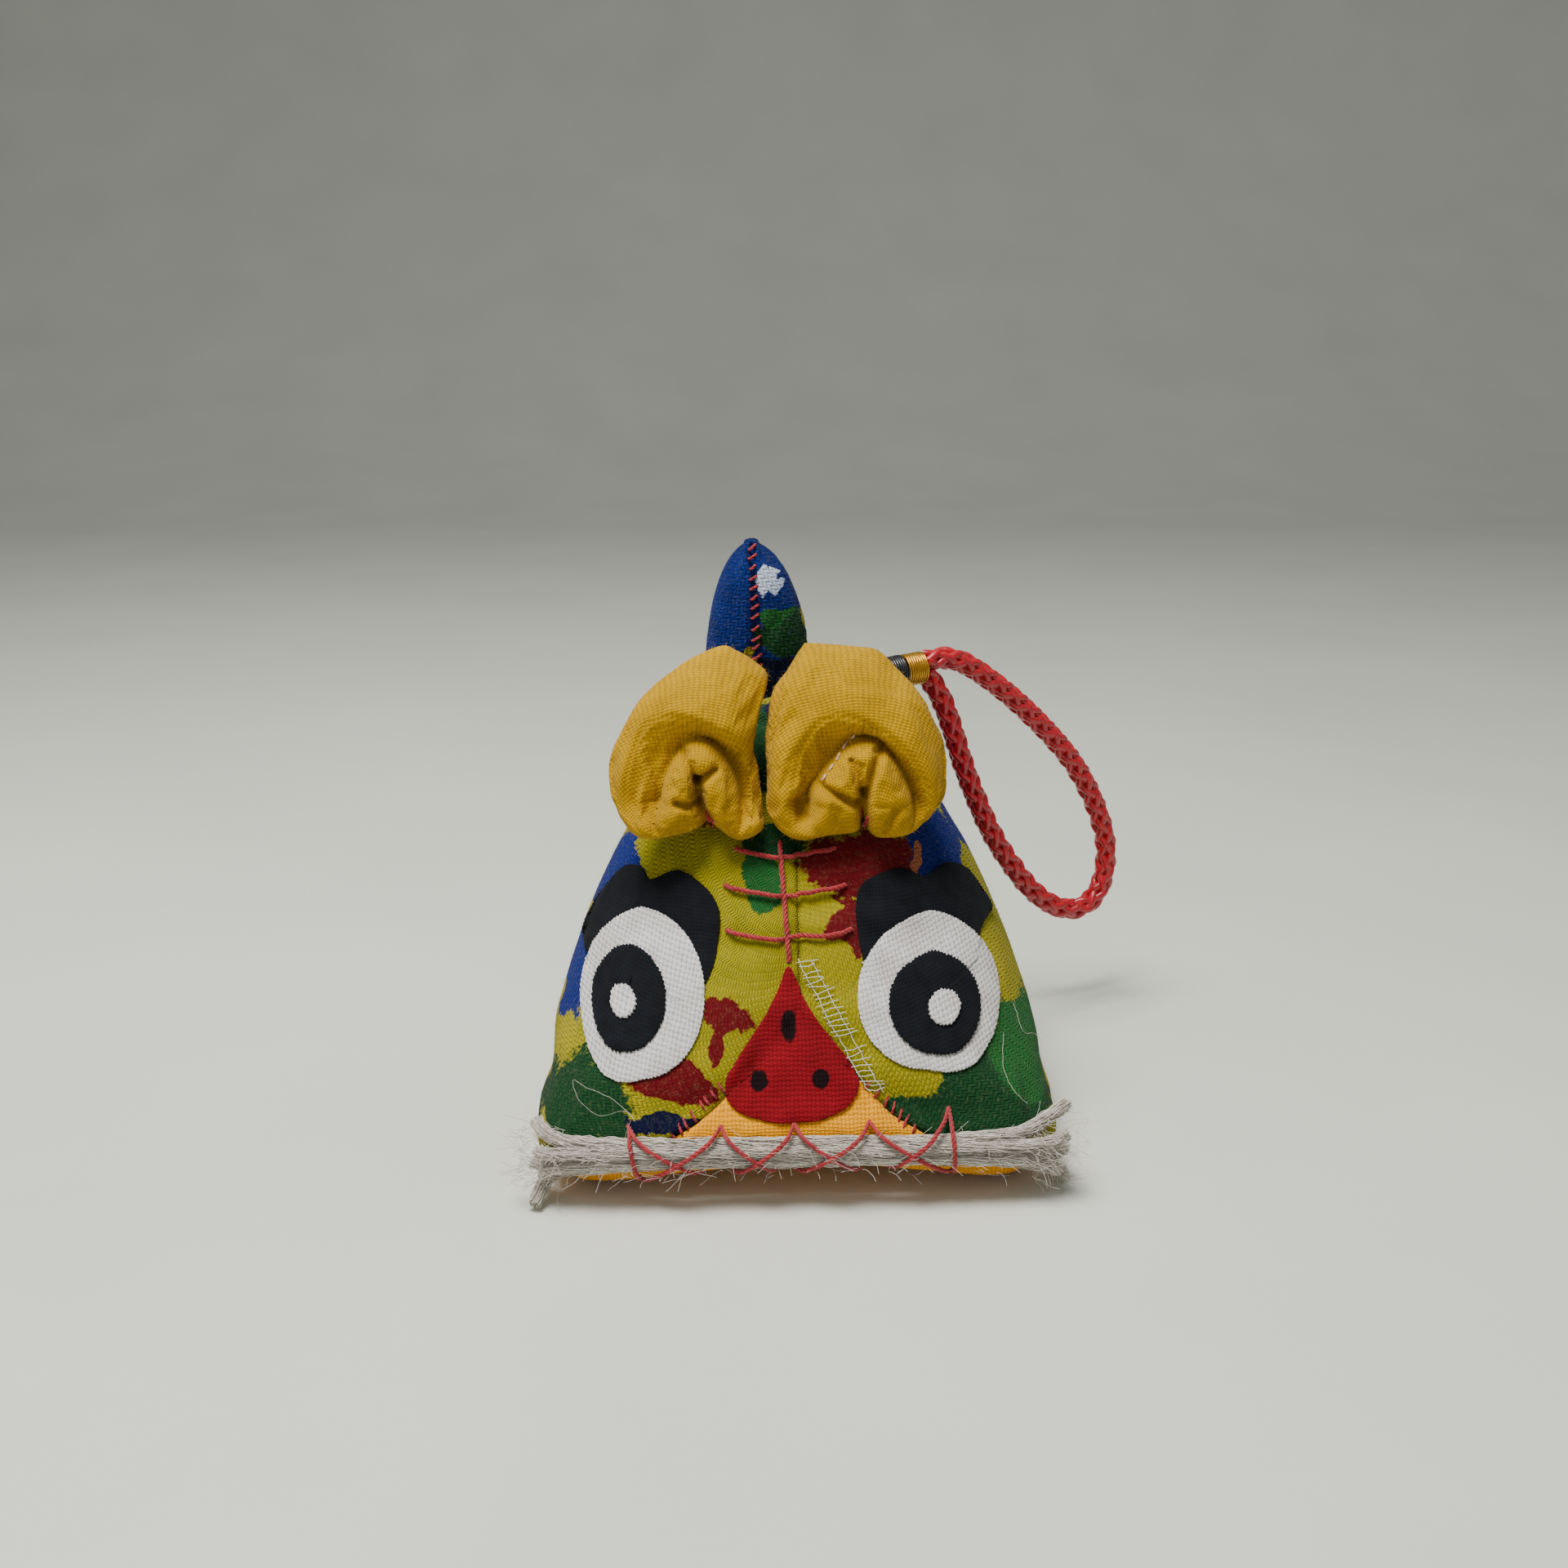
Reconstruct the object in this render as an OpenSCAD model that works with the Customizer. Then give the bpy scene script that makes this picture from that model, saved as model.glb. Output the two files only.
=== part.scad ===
// Stuffed cloth tiger charm: a hand-sewn sachet with puffed ears, an upright tail,
// appliqued eyes, wool whiskers and a braided hanging loop.
// X points to the viewer's right, the face looks along -Y, Z is up.
// The origin is on the underside, where the charm rests.

/* [Body] */
// Width across the widest part of the body
body_w = 58; // [48:0.5:70]
// Height of the body at its top ridge
body_h = 47; // [39:0.5:57]
// Distance from the origin forward to the mouth
front_reach = 28.5; // [25:0.5:34]
// Distance from the origin back to the rump
back_reach = 31; // [26:0.5:37]
// Height of the widest line of the body
waist_z = 7; // [5:0.5:9]
// Rounding of the lower edge
base_round = 7; // [5:0.5:9]
// Rise of the lower lip at its middle
lip_arch = 3.5; // [2:0.1:4.5]
// How far the hand-sewn body leans sideways at its top
body_lean = 0.6; // [0:0.1:1.5]
// Thickness of the body cloth
cloth_t = 0.6; // [0.4:0.05:0.8]

/* [Mouth insert] */
// Width of the triangle of base cloth at the foot of the face
insert_w = 34; // [28:1:40]
// Height of the tip of that triangle above the ground
insert_h = 18.5; // [15:0.5:22]
// Height of the seam round the base
seam_z = 3.5; // [2.5:0.25:4.5]

/* [Tail] */
// Height of the tail tip above the ground
tail_top = 66.4; // [60:0.5:78]
// Width of the tail at its root
tail_w = 15; // [12:0.5:18]
// Thickness of the tail from front to back
tail_t = 8.5; // [7:0.5:10]
// Sideways place of the tail
tail_x = -3.4; // [-5:0.1:0]

/* [Ears] */
// Width of each ear puff
ear_w = 19; // [15:0.5:23]
// Height of each ear puff
ear_h = 21.5; // [18:0.5:26]
// Thickness of each ear puff
ear_t = 11; // [9:0.5:13]
// Depth of the hollow in the front of an ear
ear_hollow = 3; // [1:0.25:3.5]
// Sideways place of the middle of the pair of ears
ear_pair_x = -2; // [-3:0.1:0]
// Thickness of the ear cotton
ear_cloth_t = 0.5; // [0.3:0.05:0.7]

/* [Face] */
// Width of the left eye white
left_eye_w = 17.5; // [14:0.5:19]
// Width of the right eye white
right_eye_w = 18.5; // [15:0.5:20]
// Height of the eye whites along the slope of the face
eye_h = 19; // [15:0.5:21]
// Diameter of the black ring of an eye
ring_d = 11; // [9:0.5:13]
// Diameter of the white pupil
pupil_d = 3.8; // [3:0.2:5]
// Width of the nose patch
nose_w = 14.5; // [12:0.5:17]
// Height of the nose patch along the slope of the face
nose_h = 17; // [14:0.5:20]
// Thickness of each applique cloth
applique_t = 0.5; // [0.3:0.05:0.6]
// Diameter of the sewing thread
thread_d = 0.5; // [0.4:0.05:0.6]

/* [Whiskers] */
// Diameter of each wool strand
wool_d = 1.5; // [1.2:0.1:1.7]
// Height of the lowest wool strand on the face
wool_z = 4.4; // [4:0.2:5]

/* [Hanging loop] */
// Diameter of the braided cord
cord_d = 3; // [2.5:0.1:3.5]
// Diameter of the two cord legs where they are bound together
stem_d = 3.6; // [3:0.1:4]
// Length of the stem from its tack to the open end of the bindings
stem_l = 19.2; // [17:0.2:21]
// Length of the black thread binding
black_l = 9; // [7:0.5:10]
// Length of the gold thread binding
gold_l = 2.9; // [2:0.1:3.5]
// Thickness of the bindings
binding_t = 0.5; // [0.3:0.05:0.6]
// Diameter of the thread that tacks the stem to the ridge
tack_d = 0.7; // [0.6:0.05:0.9]

/* [Hidden] */

// Colours
blue = "#12389a";
lime = "#c8c230";
green = "#1f5a30";
amber = "#f2b32a";
mustard = "#c99a1c";
white = "#d8d6d8";
black = "#15181c";
red = "#b02228";
wool = "#cfc8bc";
gold = "#d9a83a";
kapok = "#e8e2d4";

// Small gap between pieces that lie against each other in one sewn body, and round the filling
lay_gap = 0.05;
fill_gap = 0.5;
// Gap between the stem and anything that it turns past
turn_gap = 0.3;

// Half width of the filling at the ridge, and of the ridge, where the side panels meet over it
ridge_core = 0.25;
ridge_w = ridge_core + fill_gap + cloth_t;
// Where the body's top ridge starts and ends, and where its sides are widest
ridge_front = 2.7;
ridge_back = 13;
wide_y_low = -20;
wide_y_top = 6;
rump_z = 14;
lip_tuck = 1.4;

// Angular step round the body and the number of rows below and above the base seam
turn_step = 9;
rows_low = 4;
rows_high = 11;

// ---- Body surface --------------------------------------------------------------

function clamp01(t) = max(0, min(1, t));
function up(z) = clamp01((z - waist_z) / (body_h - waist_z));
function down(z) = z < waist_z ? 1 - sqrt(1 - pow(clamp01(1 - z / waist_z), 2)) : 0;

function half_w(z) = body_w / 2 * sqrt(1 - pow(up(z), 1.35)) - base_round * down(z);
function front_y0(z) = -front_reach + (front_reach + ridge_front) * pow(up(z), 1.1)
    + lip_tuck * down(z);
function wide_y(z) = wide_y_low + (wide_y_top - wide_y_low) * (1 - pow(1 - up(z), 3));
function back_y0(z) = ridge_back - base_round * down(z) + (back_reach - ridge_back)
    * sqrt(clamp01(1 - pow((z - rump_z) / (body_h - rump_z), 2)));
function lean(z) = body_lean * (1 - pow(1 - up(z), 2));

// Squareness of the front outline at a height, and of the back outline
function front_n(z) = 2 + 3 * pow(1 - up(z), 5);
back_n = 1.8;
function bulge(r, n) = pow(max(0, 1 - pow(min(1, abs(r)), n)), 1 / n);

// Rise of the arched lower lip at a place near the ground
arch_start = -12;
function arch(x, y, z) = lip_arch * max(0, 1 - pow(x / (0.9 * body_w / 2), 2))
    * pow(clamp01((arch_start - y) / (front_reach + arch_start - 3)), 1.5)
    * max(0, 1 - z / 10);
function arched(p) = [p[0], p[1], p[2] + arch(p[0], p[1], p[2])];

// Point of the body surface at height z and turn a (0 front, 90 right), set in by some depth
function flat_skin(z, a, inset) =
    let (zi = inset + z * (body_h - 2 * inset) / body_h,
        w = max(ridge_w, half_w(z)) - inset,
        ym = wide_y(z),
        s = sin(a))
    [lean(z) + w * s,
        abs(a) <= 90 ? ym - (ym - front_y0(z) - inset) * bulge(s, front_n(z))
            : ym + (back_y0(z) - inset - ym) * bulge(s, back_n),
        zi];
function skin(z, a, inset = 0) = arched(flat_skin(z, a, inset));

// Height of the base seam at a turn: a triangle rises in the middle of the face
function seam_at(a) = abs(a) > 90 ? seam_z
    : seam_z + (insert_h - seam_z) * max(0, 1 - abs(body_w / 2 * sin(a)) / (insert_w / 2));
// Height on the row q: 0 to 1 climbs to the base seam, 1 to 2 climbs on to the ridge
function row_z(q, a) = q <= 1 ? seam_at(a) * (1 - cos(90 * q))
    : seam_at(a) + (body_h - seam_at(a)) * sin(90 * (q - 1));

// Point of the face that lies straight behind (x, z) seen from the front
function face_y(x, z) = wide_y(z) - (wide_y(z) - front_y0(z))
    * bulge(min(0.985, abs(x - lean(z)) / max(1, half_w(z))), front_n(z));
function face(x, z) = arched([x, face_y(x, z), z]);
function unit(v) = v / norm(v);
function face_normal(x, z) =
    let (e = 0.3,
        across = face(x + e, z) - face(x - e, z),
        upward = face(x, z + e) - face(x, z - e))
    unit(cross(across, upward));
function face_at(x, z, lift = 0) = face(x, z) + lift * face_normal(x, z);

// Place that is u across and v up the slope from (x0, z0), raised off the face by lift
function on_slope(x0, z0, u, v, lift) =
    let (n = face_normal(x0, z0),
        across = abs(n[1]) / norm([n[0], n[1]]),
        climb = abs(n[1]) / norm([n[1], n[2]]))
    face_at(x0 + u * across, max(0.5, z0 + v * climb), lift);

// Height to give face() so that the arched face ends up at height z
function unarched(x, z) = let (rise = arch(x, -front_reach, 0)) z < 10 ? (z - rise) / (1 - rise / 10) : z;

// ---- Solids made of rings -------------------------------------------------------

// Closed solid through a list of rings with the same even number of points; a core that lies
// inside a shell splits its faces the other way, as the shell's inner side does
module stack(rings, joined = false, core = false) {
    n = len(rings[0]);
    m = len(rings);
    last = joined ? m - 1 : m - 2;
    sides = [for (k = [0:last], i = [0:n - 1])
        let (a = k * n, b = ((k + 1) % m) * n, j = (i + 1) % n)
        each core ? [[a + i, b + i, a + j], [b + i, b + j, a + j]]
            : [[a + i, b + i, b + j], [a + i, b + j, a + j]]];
    ends = joined ? [] : [for (i = [0:n / 2 - 2])
        each [[i, i + 1, n - 2 - i], [i, n - 2 - i, n - 1 - i],
            [(m - 1) * n + i + 1, (m - 1) * n + i, (m - 1) * n + n - 1 - i],
            [(m - 1) * n + i + 1, (m - 1) * n + n - 1 - i, (m - 1) * n + n - 2 - i]]];
    polyhedron(points = [for (r = rings) each r], faces = concat(sides, ends), convexity = 8);
}

// Smooth curve through points: t runs over whole numbers at the points
function curve_at(p, t) =
    let (n = len(p),
        i = min(n - 2, floor(t)),
        f = t - i,
        a = p[max(0, i - 1)],
        b = p[i],
        c = p[i + 1],
        d = p[min(n - 1, i + 2)])
    0.5 * ((2 * b) + (c - a) * f + (2 * a - 5 * b + 4 * c - d) * f * f
        + (3 * b - a - 3 * c + d) * f * f * f);
function smooth(p, steps) = [for (k = [0:(len(p) - 1) * steps]) curve_at(p, k / steps)];

// Round tube of diameter d along a path; side is a direction that the path never follows
module tube(path, d, sides, side = [0, 0, 1], joined = false) {
    n = len(path);
    stack([for (k = [0:n - 1])
        let (before = path[joined ? (k + n - 1) % n : max(0, k - 1)],
            after = path[joined ? (k + 1) % n : min(n - 1, k + 1)],
            t = unit(after - before),
            u = unit(cross(side, t)),
            v = cross(t, u))
        [for (i = [0:sides - 1]) path[k] + d / 2 * (cos(360 * i / sides) * u
            + sin(360 * i / sides) * v)]], joined);
}

// Straight stitch of thread between two points
module stitch(a, b, d = thread_d) {
    v = b - a;
    translate(a) rotate([0, acos(v[2] / norm(v)), atan2(v[1], v[0])])
        cylinder(h = norm(v), d = d, $fn = 16);
}

// Piece of cloth cut to an outline and laid on the face; lifts rise with the height v
module applique(x0, z0, outline, base = 0, over = 0) {
    scales = [0.12, 0.45, 0.75, 1];
    function ring(s, extra) = [for (p = outline)
        on_slope(x0, z0, s * p[0], s * p[1], base + step_over(s * p[1], over) + extra)];
    stack(concat([for (s = scales) ring(s, 0)],
        [for (k = [len(scales) - 1:-1:0]) ring(scales[k], applique_t)]));
}
// An applique that lies half over another climbs onto it above the middle
function step_over(v, over) = over * clamp01((v + 1) / 4);
function oval(w, h, n = 28) = [for (i = [0:n - 1])
    [w / 2 * cos(360 * i / n), h / 2 * sin(360 * i / n)]];
function in_halves(p) = [for (i = [0:len(p) - 1]) each [p[i], (p[i] + p[(i + 1) % len(p)]) / 2]];

// ---- Body -----------------------------------------------------------------------

turns = [for (a = [-180:turn_step:180 - turn_step]) a];
function skin_ring(q, inset) = [for (a = turns) skin(row_z(q, a), a, inset)];
// Ring on the flat underside, a share s of the way out from the middle
function under_ring(s, inset) = [for (a = turns)
    let (p = flat_skin(0, a, inset)) arched([s * p[0], s * p[1], p[2]])];
under_shares = [0.15, 0.4, 0.7];
low_rows = [for (k = [0:rows_low]) k / rows_low];
high_rows = [for (k = [0:rows_high]) 1 + k / rows_high];

module body_stuffing() {
    inset = cloth_t + fill_gap;
    color(kapok) stack(concat(
        [for (s = under_shares) under_ring(s, inset)],
        [for (q = low_rows) skin_ring(q, inset)],
        [for (k = [1:rows_high]) skin_ring(high_rows[k], inset)]), core = true);
}

// Side panel of body cloth, from the base seam to the ridge; side is -1 left, 1 right
module body_panel(side) {
    last = 180 / turn_step;
    function turn(i) = side * turn_step * (side > 0 ? i : last - i);
    function edge(q, i, inset) =
        let (z = row_z(q, turn(i)), p = skin(z, turn(i), inset))
        [lean(z) + side * max(side * (p[0] - lean(z)), lay_gap), p[1], p[2]];
    stack([for (q = high_rows) concat(
        [for (i = [0:last]) edge(q, i, 0)],
        [for (i = [last:-1:0]) edge(q, i, cloth_t)])]);
}
module body_panel_left() { color(lime) body_panel(-1); }
module body_panel_right() { color(green) body_panel(1); }

// Underside and mouth insert in one piece of cloth
module base_panel() {
    outer = concat([for (s = under_shares) under_ring(s, 0)], [for (q = low_rows) base_ring(q, 0)]);
    inner = concat([for (s = under_shares) under_ring(s, cloth_t)],
        [for (q = low_rows) base_ring(q, cloth_t)]);
    color(amber) stack(concat(outer, [for (i = [len(inner) - 1:-1:0]) inner[i]]));
}
// The base cloth stops just short of the panels above it
function base_ring(q, inset) = [for (a = turns)
    skin(max(0, row_z(q, a) - 2 * lay_gap * q), a, inset)];

// Short red stitches across the two upper edges of the mouth insert
module base_seam_stitches() {
    count = 7;
    for (side = [-1, 1], k = [1:count])
        let (x = side * insert_w / 2 * (0.46 + 0.24 * k / count),
            z = insert_h - (insert_h - seam_z) * abs(x) / (insert_w / 2),
            lift = thread_d / 2 + lay_gap)
        color(red) stitch(face_at(x - side * 0.5, z - 0.6, lift), face_at(x + side * 0.4, z + 0.7, lift));
}

// ---- Tail -----------------------------------------------------------------------

tail_y = 20;
tail_lean = -0.8;
narrow_foot = 0.75;
tail_rows = 9;
// Height of the body surface straight below or above (x, y) on the rear half
function inside_body(x, y, z) = abs(x - lean(z)) < half_w(z)
    && y < wide_y(z) + (back_y0(z) - wide_y(z)) * bulge((x - lean(z)) / half_w(z), back_n);
function roof_z(x, y, low, high, k = 14) = k == 0 ? high
    : let (mid = (low + high) / 2) inside_body(x, y, mid)
        ? roof_z(x, y, mid, high, k - 1) : roof_z(x, y, low, mid, k - 1);
// Point of the tail on row t (0 root, 1 tip) at turn a
function tail_point(t, a, inset) =
    let (narrow = sqrt(max(0, 1 - pow(t, 2.5))) 
            * (narrow_foot + (1 - narrow_foot) * sin(90 * min(1, t / 0.4))),
        w = max(ridge_w, tail_w / 2 * narrow) - inset,
        d = max(ridge_w, tail_t / 2 * narrow) - inset,
        foot_x = tail_x + (tail_w / 2 * narrow_foot - inset) * sin(a),
        foot_y = tail_y - (tail_t / 2 * narrow_foot - inset) * cos(a),
        root = roof_z(foot_x, foot_y, waist_z, body_h) + fill_gap)
    [tail_x + tail_lean * t + w * sin(a), tail_y - d * cos(a),
        root + (tail_top - inset - root) * t];
function tail_row(k) = sin(90 * k / tail_rows);

// Ring on the roof under the tail, a share s of the way out from its middle
function foot_point(s, a, inset) =
    let (p = tail_point(0, a, inset),
        x = tail_x + s * (p[0] - tail_x),
        y = tail_y + s * (p[1] - tail_y))
    [x, y, roof_z(x, y, waist_z, body_h) + fill_gap];
module tail_stuffing() {
    inset = cloth_t + fill_gap;
    turns = [-180:15:165];
    color(kapok) stack(concat(
        [for (s = [0.1, 0.4, 0.7]) [for (a = turns) foot_point(s, a, inset)]],
        [for (k = [0:tail_rows]) [for (a = turns) tail_point(tail_row(k), a, inset)]]));
}
module tail_panel(side) {
    last = 12;
    function turn(i) = side * 15 * (side > 0 ? i : last - i);
    function edge(p, t) = let (mid = tail_x + tail_lean * t)
        [mid + side * max(side * (p[0] - mid), lay_gap), p[1], p[2]];
    stack([for (k = [0:tail_rows]) let (t = tail_row(k)) concat(
        [for (i = [0:last]) edge(tail_point(t, turn(i), 0), t)],
        [for (i = [last:-1:0]) edge(tail_point(t, turn(i), cloth_t), t)])]);
}
module tail_panel_left() { color(blue) tail_panel(-1); }
module tail_panel_right() { color(blue) tail_panel(1); }
module tail_seam_stitches() {
    count = 9;
    lift = thread_d / 2 + lay_gap;
    for (k = [0:count - 1])
        let (t = 0.25 + 0.68 * k / count)
        color(red) stitch(tail_point(t, -9, -lift), tail_point(t + 0.03, 9, -lift));
}

// ---- Ears -----------------------------------------------------------------------

ear_foot_z = 34.5 * body_h / 47;
ear_spread_low = 0.55 * ear_w;
ear_spread_top = 0.44 * ear_w;
ear_wide_t = 0.32;
ear_rows = 10;
function ear_swell(t) = t > ear_wide_t
    ? sqrt(max(0, 1 - pow((t - ear_wide_t) / (1 - ear_wide_t), 2)))
    : 0.4 + 0.6 * sin(90 * t / ear_wide_t);
// Point of an ear on row t (0 foot, 1 top) at turn a
function ear_point(side, t, a, inset) =
    let (z = ear_foot_z + inset + (ear_h - 2 * inset) * t,
        mid_x = ear_pair_x + side * (ear_spread_low + (ear_spread_top - ear_spread_low) * t),
        mid_y = face_y(0, ear_foot_z) - 1.5 + 7.5 * t,
        w = max(0.3, ear_w / 2 * ear_swell(t) - inset),
        d = max(0.3, ear_t / 2 * ear_swell(t) - inset),
        s = sin(a),
        hollow = abs(a) < 90 ? ear_hollow * exp(-pow(s * w / 5, 2) - pow((t - 0.38) / 0.25, 2)) : 0,
        x = mid_x + w * s,
        y = mid_y - d * cos(a) + hollow,
        wall = z < body_h && abs(x - lean(z)) < half_w(z) ? face_y(x, z) - 2 * lay_gap - inset : y)
    [x, min(y, wall), z];
function ear_row(k) = (1 - cos(180 * k / ear_rows)) / 2;
function ear_ring(side, k, inset) = [for (a = [-180:15:165]) ear_point(side, ear_row(k), a, inset)];

module ear_stuffing(side) {
    color(kapok) stack([for (k = [0:ear_rows]) ear_ring(side, k, ear_cloth_t + fill_gap)]);
}
module ear_stuffing_left() { ear_stuffing(-1); }
module ear_stuffing_right() { ear_stuffing(1); }

// Cover of cotton, open at the gathered foot
module ear_cover(side) {
    color(mustard) stack(concat([for (k = [ear_rows:-1:0]) ear_ring(side, k, ear_cloth_t)],
        [for (k = [0:ear_rows]) ear_ring(side, k, 0)]));
}
module ear_cover_left() { ear_cover(-1); }
module ear_cover_right() { ear_cover(1); }

// Thread drawn round the foot of the ear
module ear_gather_thread(side) {
    t = 0.02;
    color(red) tube([for (a = [-180:22.5:157.5])
        let (q = ear_point(side, t, a, -thread_d / 2 - lay_gap))
        [q[0], min(q[1], face_y(q[0], q[2]) - 2 * thread_d), q[2] - thread_d]], thread_d, 6, joined = true);
}
module ear_gather_thread_left() { ear_gather_thread(-1); }
module ear_gather_thread_right() { ear_gather_thread(1); }

// ---- Face appliques -------------------------------------------------------------

patch_gap = 3 * lay_gap;
eye_z = 19.7 * body_h / 47;
left_eye_x = -0.66 * half_w(eye_z);
right_eye_x = 0.58 * half_w(eye_z);
// Outline of a brow round its middle: u runs outwards, v up the slope
brow_outline = [[8, -5], [7.6, -1], [6.2, 2.6], [3.4, 4.6], [1.4, 5], [0.2, 4.2], [-1.6, 5.2], [-4.4, 5.6],
    [-7, 4.4], [-8.8, 1.6], [-8.8, -2.4], [-7.6, -5.4], [-3, -4], [2.5, -4]];
brow_up = 8.5;
function sided(p, side) = side > 0 ? p : [for (i = [len(p) - 1:-1:0]) [-p[i][0], p[i][1]]];
// A brow's middle lies up the slope from the middle of its eye
function brow_foot(x) = on_slope(x, eye_z, 0, brow_up, 0);

module brow(x, side) {
    foot = brow_foot(x);
    color(black) applique(foot[0], foot[2], in_halves(sided(brow_outline, -side)), patch_gap);
}
module brow_left() { brow(left_eye_x, 1); }
module brow_right() { brow(right_eye_x, -1); }

// The white, the ring and the pupil are stacked, each one layer higher
module eye_layer(x, outline, layer) {
    applique(x, eye_z, outline, patch_gap + layer * (applique_t + lay_gap), applique_t + 4 * lay_gap);
}
module eye_white_left() { color(white) eye_layer(left_eye_x, oval(left_eye_w, eye_h), 0); }
module eye_white_right() { color(white) eye_layer(right_eye_x, oval(right_eye_w, eye_h), 0); }
module eye_ring_left() { color(black) eye_layer(left_eye_x, oval(ring_d, 1.1 * ring_d), 1); }
module eye_ring_right() { color(black) eye_layer(right_eye_x, oval(ring_d, 1.1 * ring_d), 1); }
module eye_pupil_left() { color(white) eye_layer(left_eye_x, oval(pupil_d, 1.1 * pupil_d, 16), 2); }
module eye_pupil_right() { color(white) eye_layer(right_eye_x, oval(pupil_d, 1.1 * pupil_d, 16), 2); }

// Drop-shaped nose, pointed at its top
nose_x = -0.8;
nose_z = 15.2 * body_h / 47;
module nose_patch() {
    color(red) applique(nose_x, nose_z, [for (i = [0:27])
        let (a = 360 * (i + 0.5) / 28) [-nose_w / 2 * 1.33 * sin(a) * sin(a / 2), nose_h / 2 * cos(a)]],
        patch_gap);
}

// Forehead mark: one upright stitch crossed by three chevrons
forehead_z = 28.5 * body_h / 47;
forehead_x = -1.2;
module forehead_stitches() {
    lift = thread_d / 2 + 3 * lay_gap;
    cross_lift = lift + thread_d + lay_gap;
    color(red) {
        stitch(face_at(forehead_x, forehead_z + 4.8, lift), face_at(forehead_x, forehead_z - 4.8, lift));
        for (dz = [-3.6, 0, 3.6], side = [-1, 1])
            stitch(face_at(forehead_x + side * thread_d, forehead_z + dz - 0.6, cross_lift),
                face_at(forehead_x + side * 6.5, forehead_z + dz + 0.9, lift + thread_d / 2));
    }
}

// ---- Whiskers and mouth ---------------------------------------------------------

// Place in front of the lip at an exact height, held off by some distance
function lip_at(x, z, out) = [x, face_y(x, unarched(x, z)) - out, z];

// Each strand: left end, step up the face, layer, right end
wool_step = wool_d + 0.1;
wool_layer = wool_step;
end_x = body_w / 2 + 0.8;
end_y = 4.5 - front_reach;
strands = [
    [[-end_x, end_y - 6, 0.9], 0, 0, [end_x + 1, end_y - 1, 0.9]],
    [[-end_x - 0.5, end_y - 1.5, 3.4], 1, 0, [end_x + 1.2, end_y, 3.6]],
    [[-end_x, end_y - 1, 8.2], 2, 0, [end_x + 1, end_y - 1, 9.4]],
    [[-end_x + 1, end_y - 4.5, 3.4], 0.5, 1, [end_x - 0.5, end_y - 4.5, 3]],
    [[-end_x + 0.5, end_y - 4, 6.2], 1.5, 1, [end_x + 0.5, end_y - 3.5, 6.8]]];
function strand_path(s) =
    let (z = wool_z + wool_step * s[1],
        out = wool_d / 2 + 0.3 + s[2] * wool_layer,
        half = body_w / 2)
    smooth(concat([s[0]],
        [for (f = [-0.93, -0.8, -0.5, -0.2, 0.2, 0.5, 0.8, 0.93])
            let (bent = pow(abs(f), 8))
            lip_at(f * half, z * (1 - bent) + s[f < 0 ? 0 : 3][2] * bent, out + 1.6 * bent)],
        [s[3]]), 3);
module strand(i) {
    color(wool) tube(strand_path(strands[i - 1]), wool_d, 8);
}
module whisker_strand_1() { strand(1); }
module whisker_strand_2() { strand(2); }
module whisker_strand_3() { strand(3); }
module whisker_strand_4() { strand(4); }
module whisker_strand_5() { strand(5); }

// Herringbone of red thread that holds the wool down: each tooth's legs cross its neighbours'
teeth = 5;
tooth_step = 0.3 * body_w / 2;
tooth_reach = 0.85 * tooth_step;
mouth_mid_x = -1;
// Room under the stitches, which run straight over the round of the wool
stitch_lift = 1;
module mouth_stitches() {
    out = wool_d + 0.3 + wool_layer + thread_d / 2 + stitch_lift;
    low = wool_z - wool_d / 2 - 0.3;
    high = wool_z + 2 * wool_step + wool_d / 2 + 0.3;
    function at(x, z) = lip_at(x, z, out);
    function tooth_x(k) = mouth_mid_x + tooth_step * (k - (teeth - 1) / 2);
    color(red) for (k = [0:teeth - 1], side = [-1, 1]) {
        last = k == (side < 0 ? 0 : teeth - 1);
        reach = side * (last ? 1 : tooth_reach);
        stitch(at(tooth_x(k), high), at(tooth_x(k) + reach, low));
    }
}

// ---- Hanging loop ---------------------------------------------------------------

// The stem turns on its tack thread, which runs across the direction that the stem points in
pivot = [body_lean, 8, body_h + stem_d / 2 + turn_gap];
stem_heading = atan2(0.4, 0.916);
stem_climb = 4;
module on_stem() { translate(pivot) rotate([0, 0, stem_heading]) rotate([0, 90 - stem_climb, 0]) children(); }
tack_reach = stem_d / 2 + 1;

// Thread through the root of the stem, with both ends sewn down into the ridge
module hanger_tack_thread() {
    color(red) translate(pivot) rotate([0, 0, stem_heading]) {
        rotate([90, 0, 0]) cylinder(h = 2 * tack_reach, d = tack_d, center = true, $fn = 24);
        for (side = [-1, 1]) translate([0, side * tack_reach, 0]) {
            sphere(d = tack_d, $fn = 24);
            translate([0, 0, body_h - pivot[2] + 2 * lay_gap])
                cylinder(h = pivot[2] - body_h - 2 * lay_gap, d = tack_d, $fn = 24);
        }
    }
}

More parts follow.
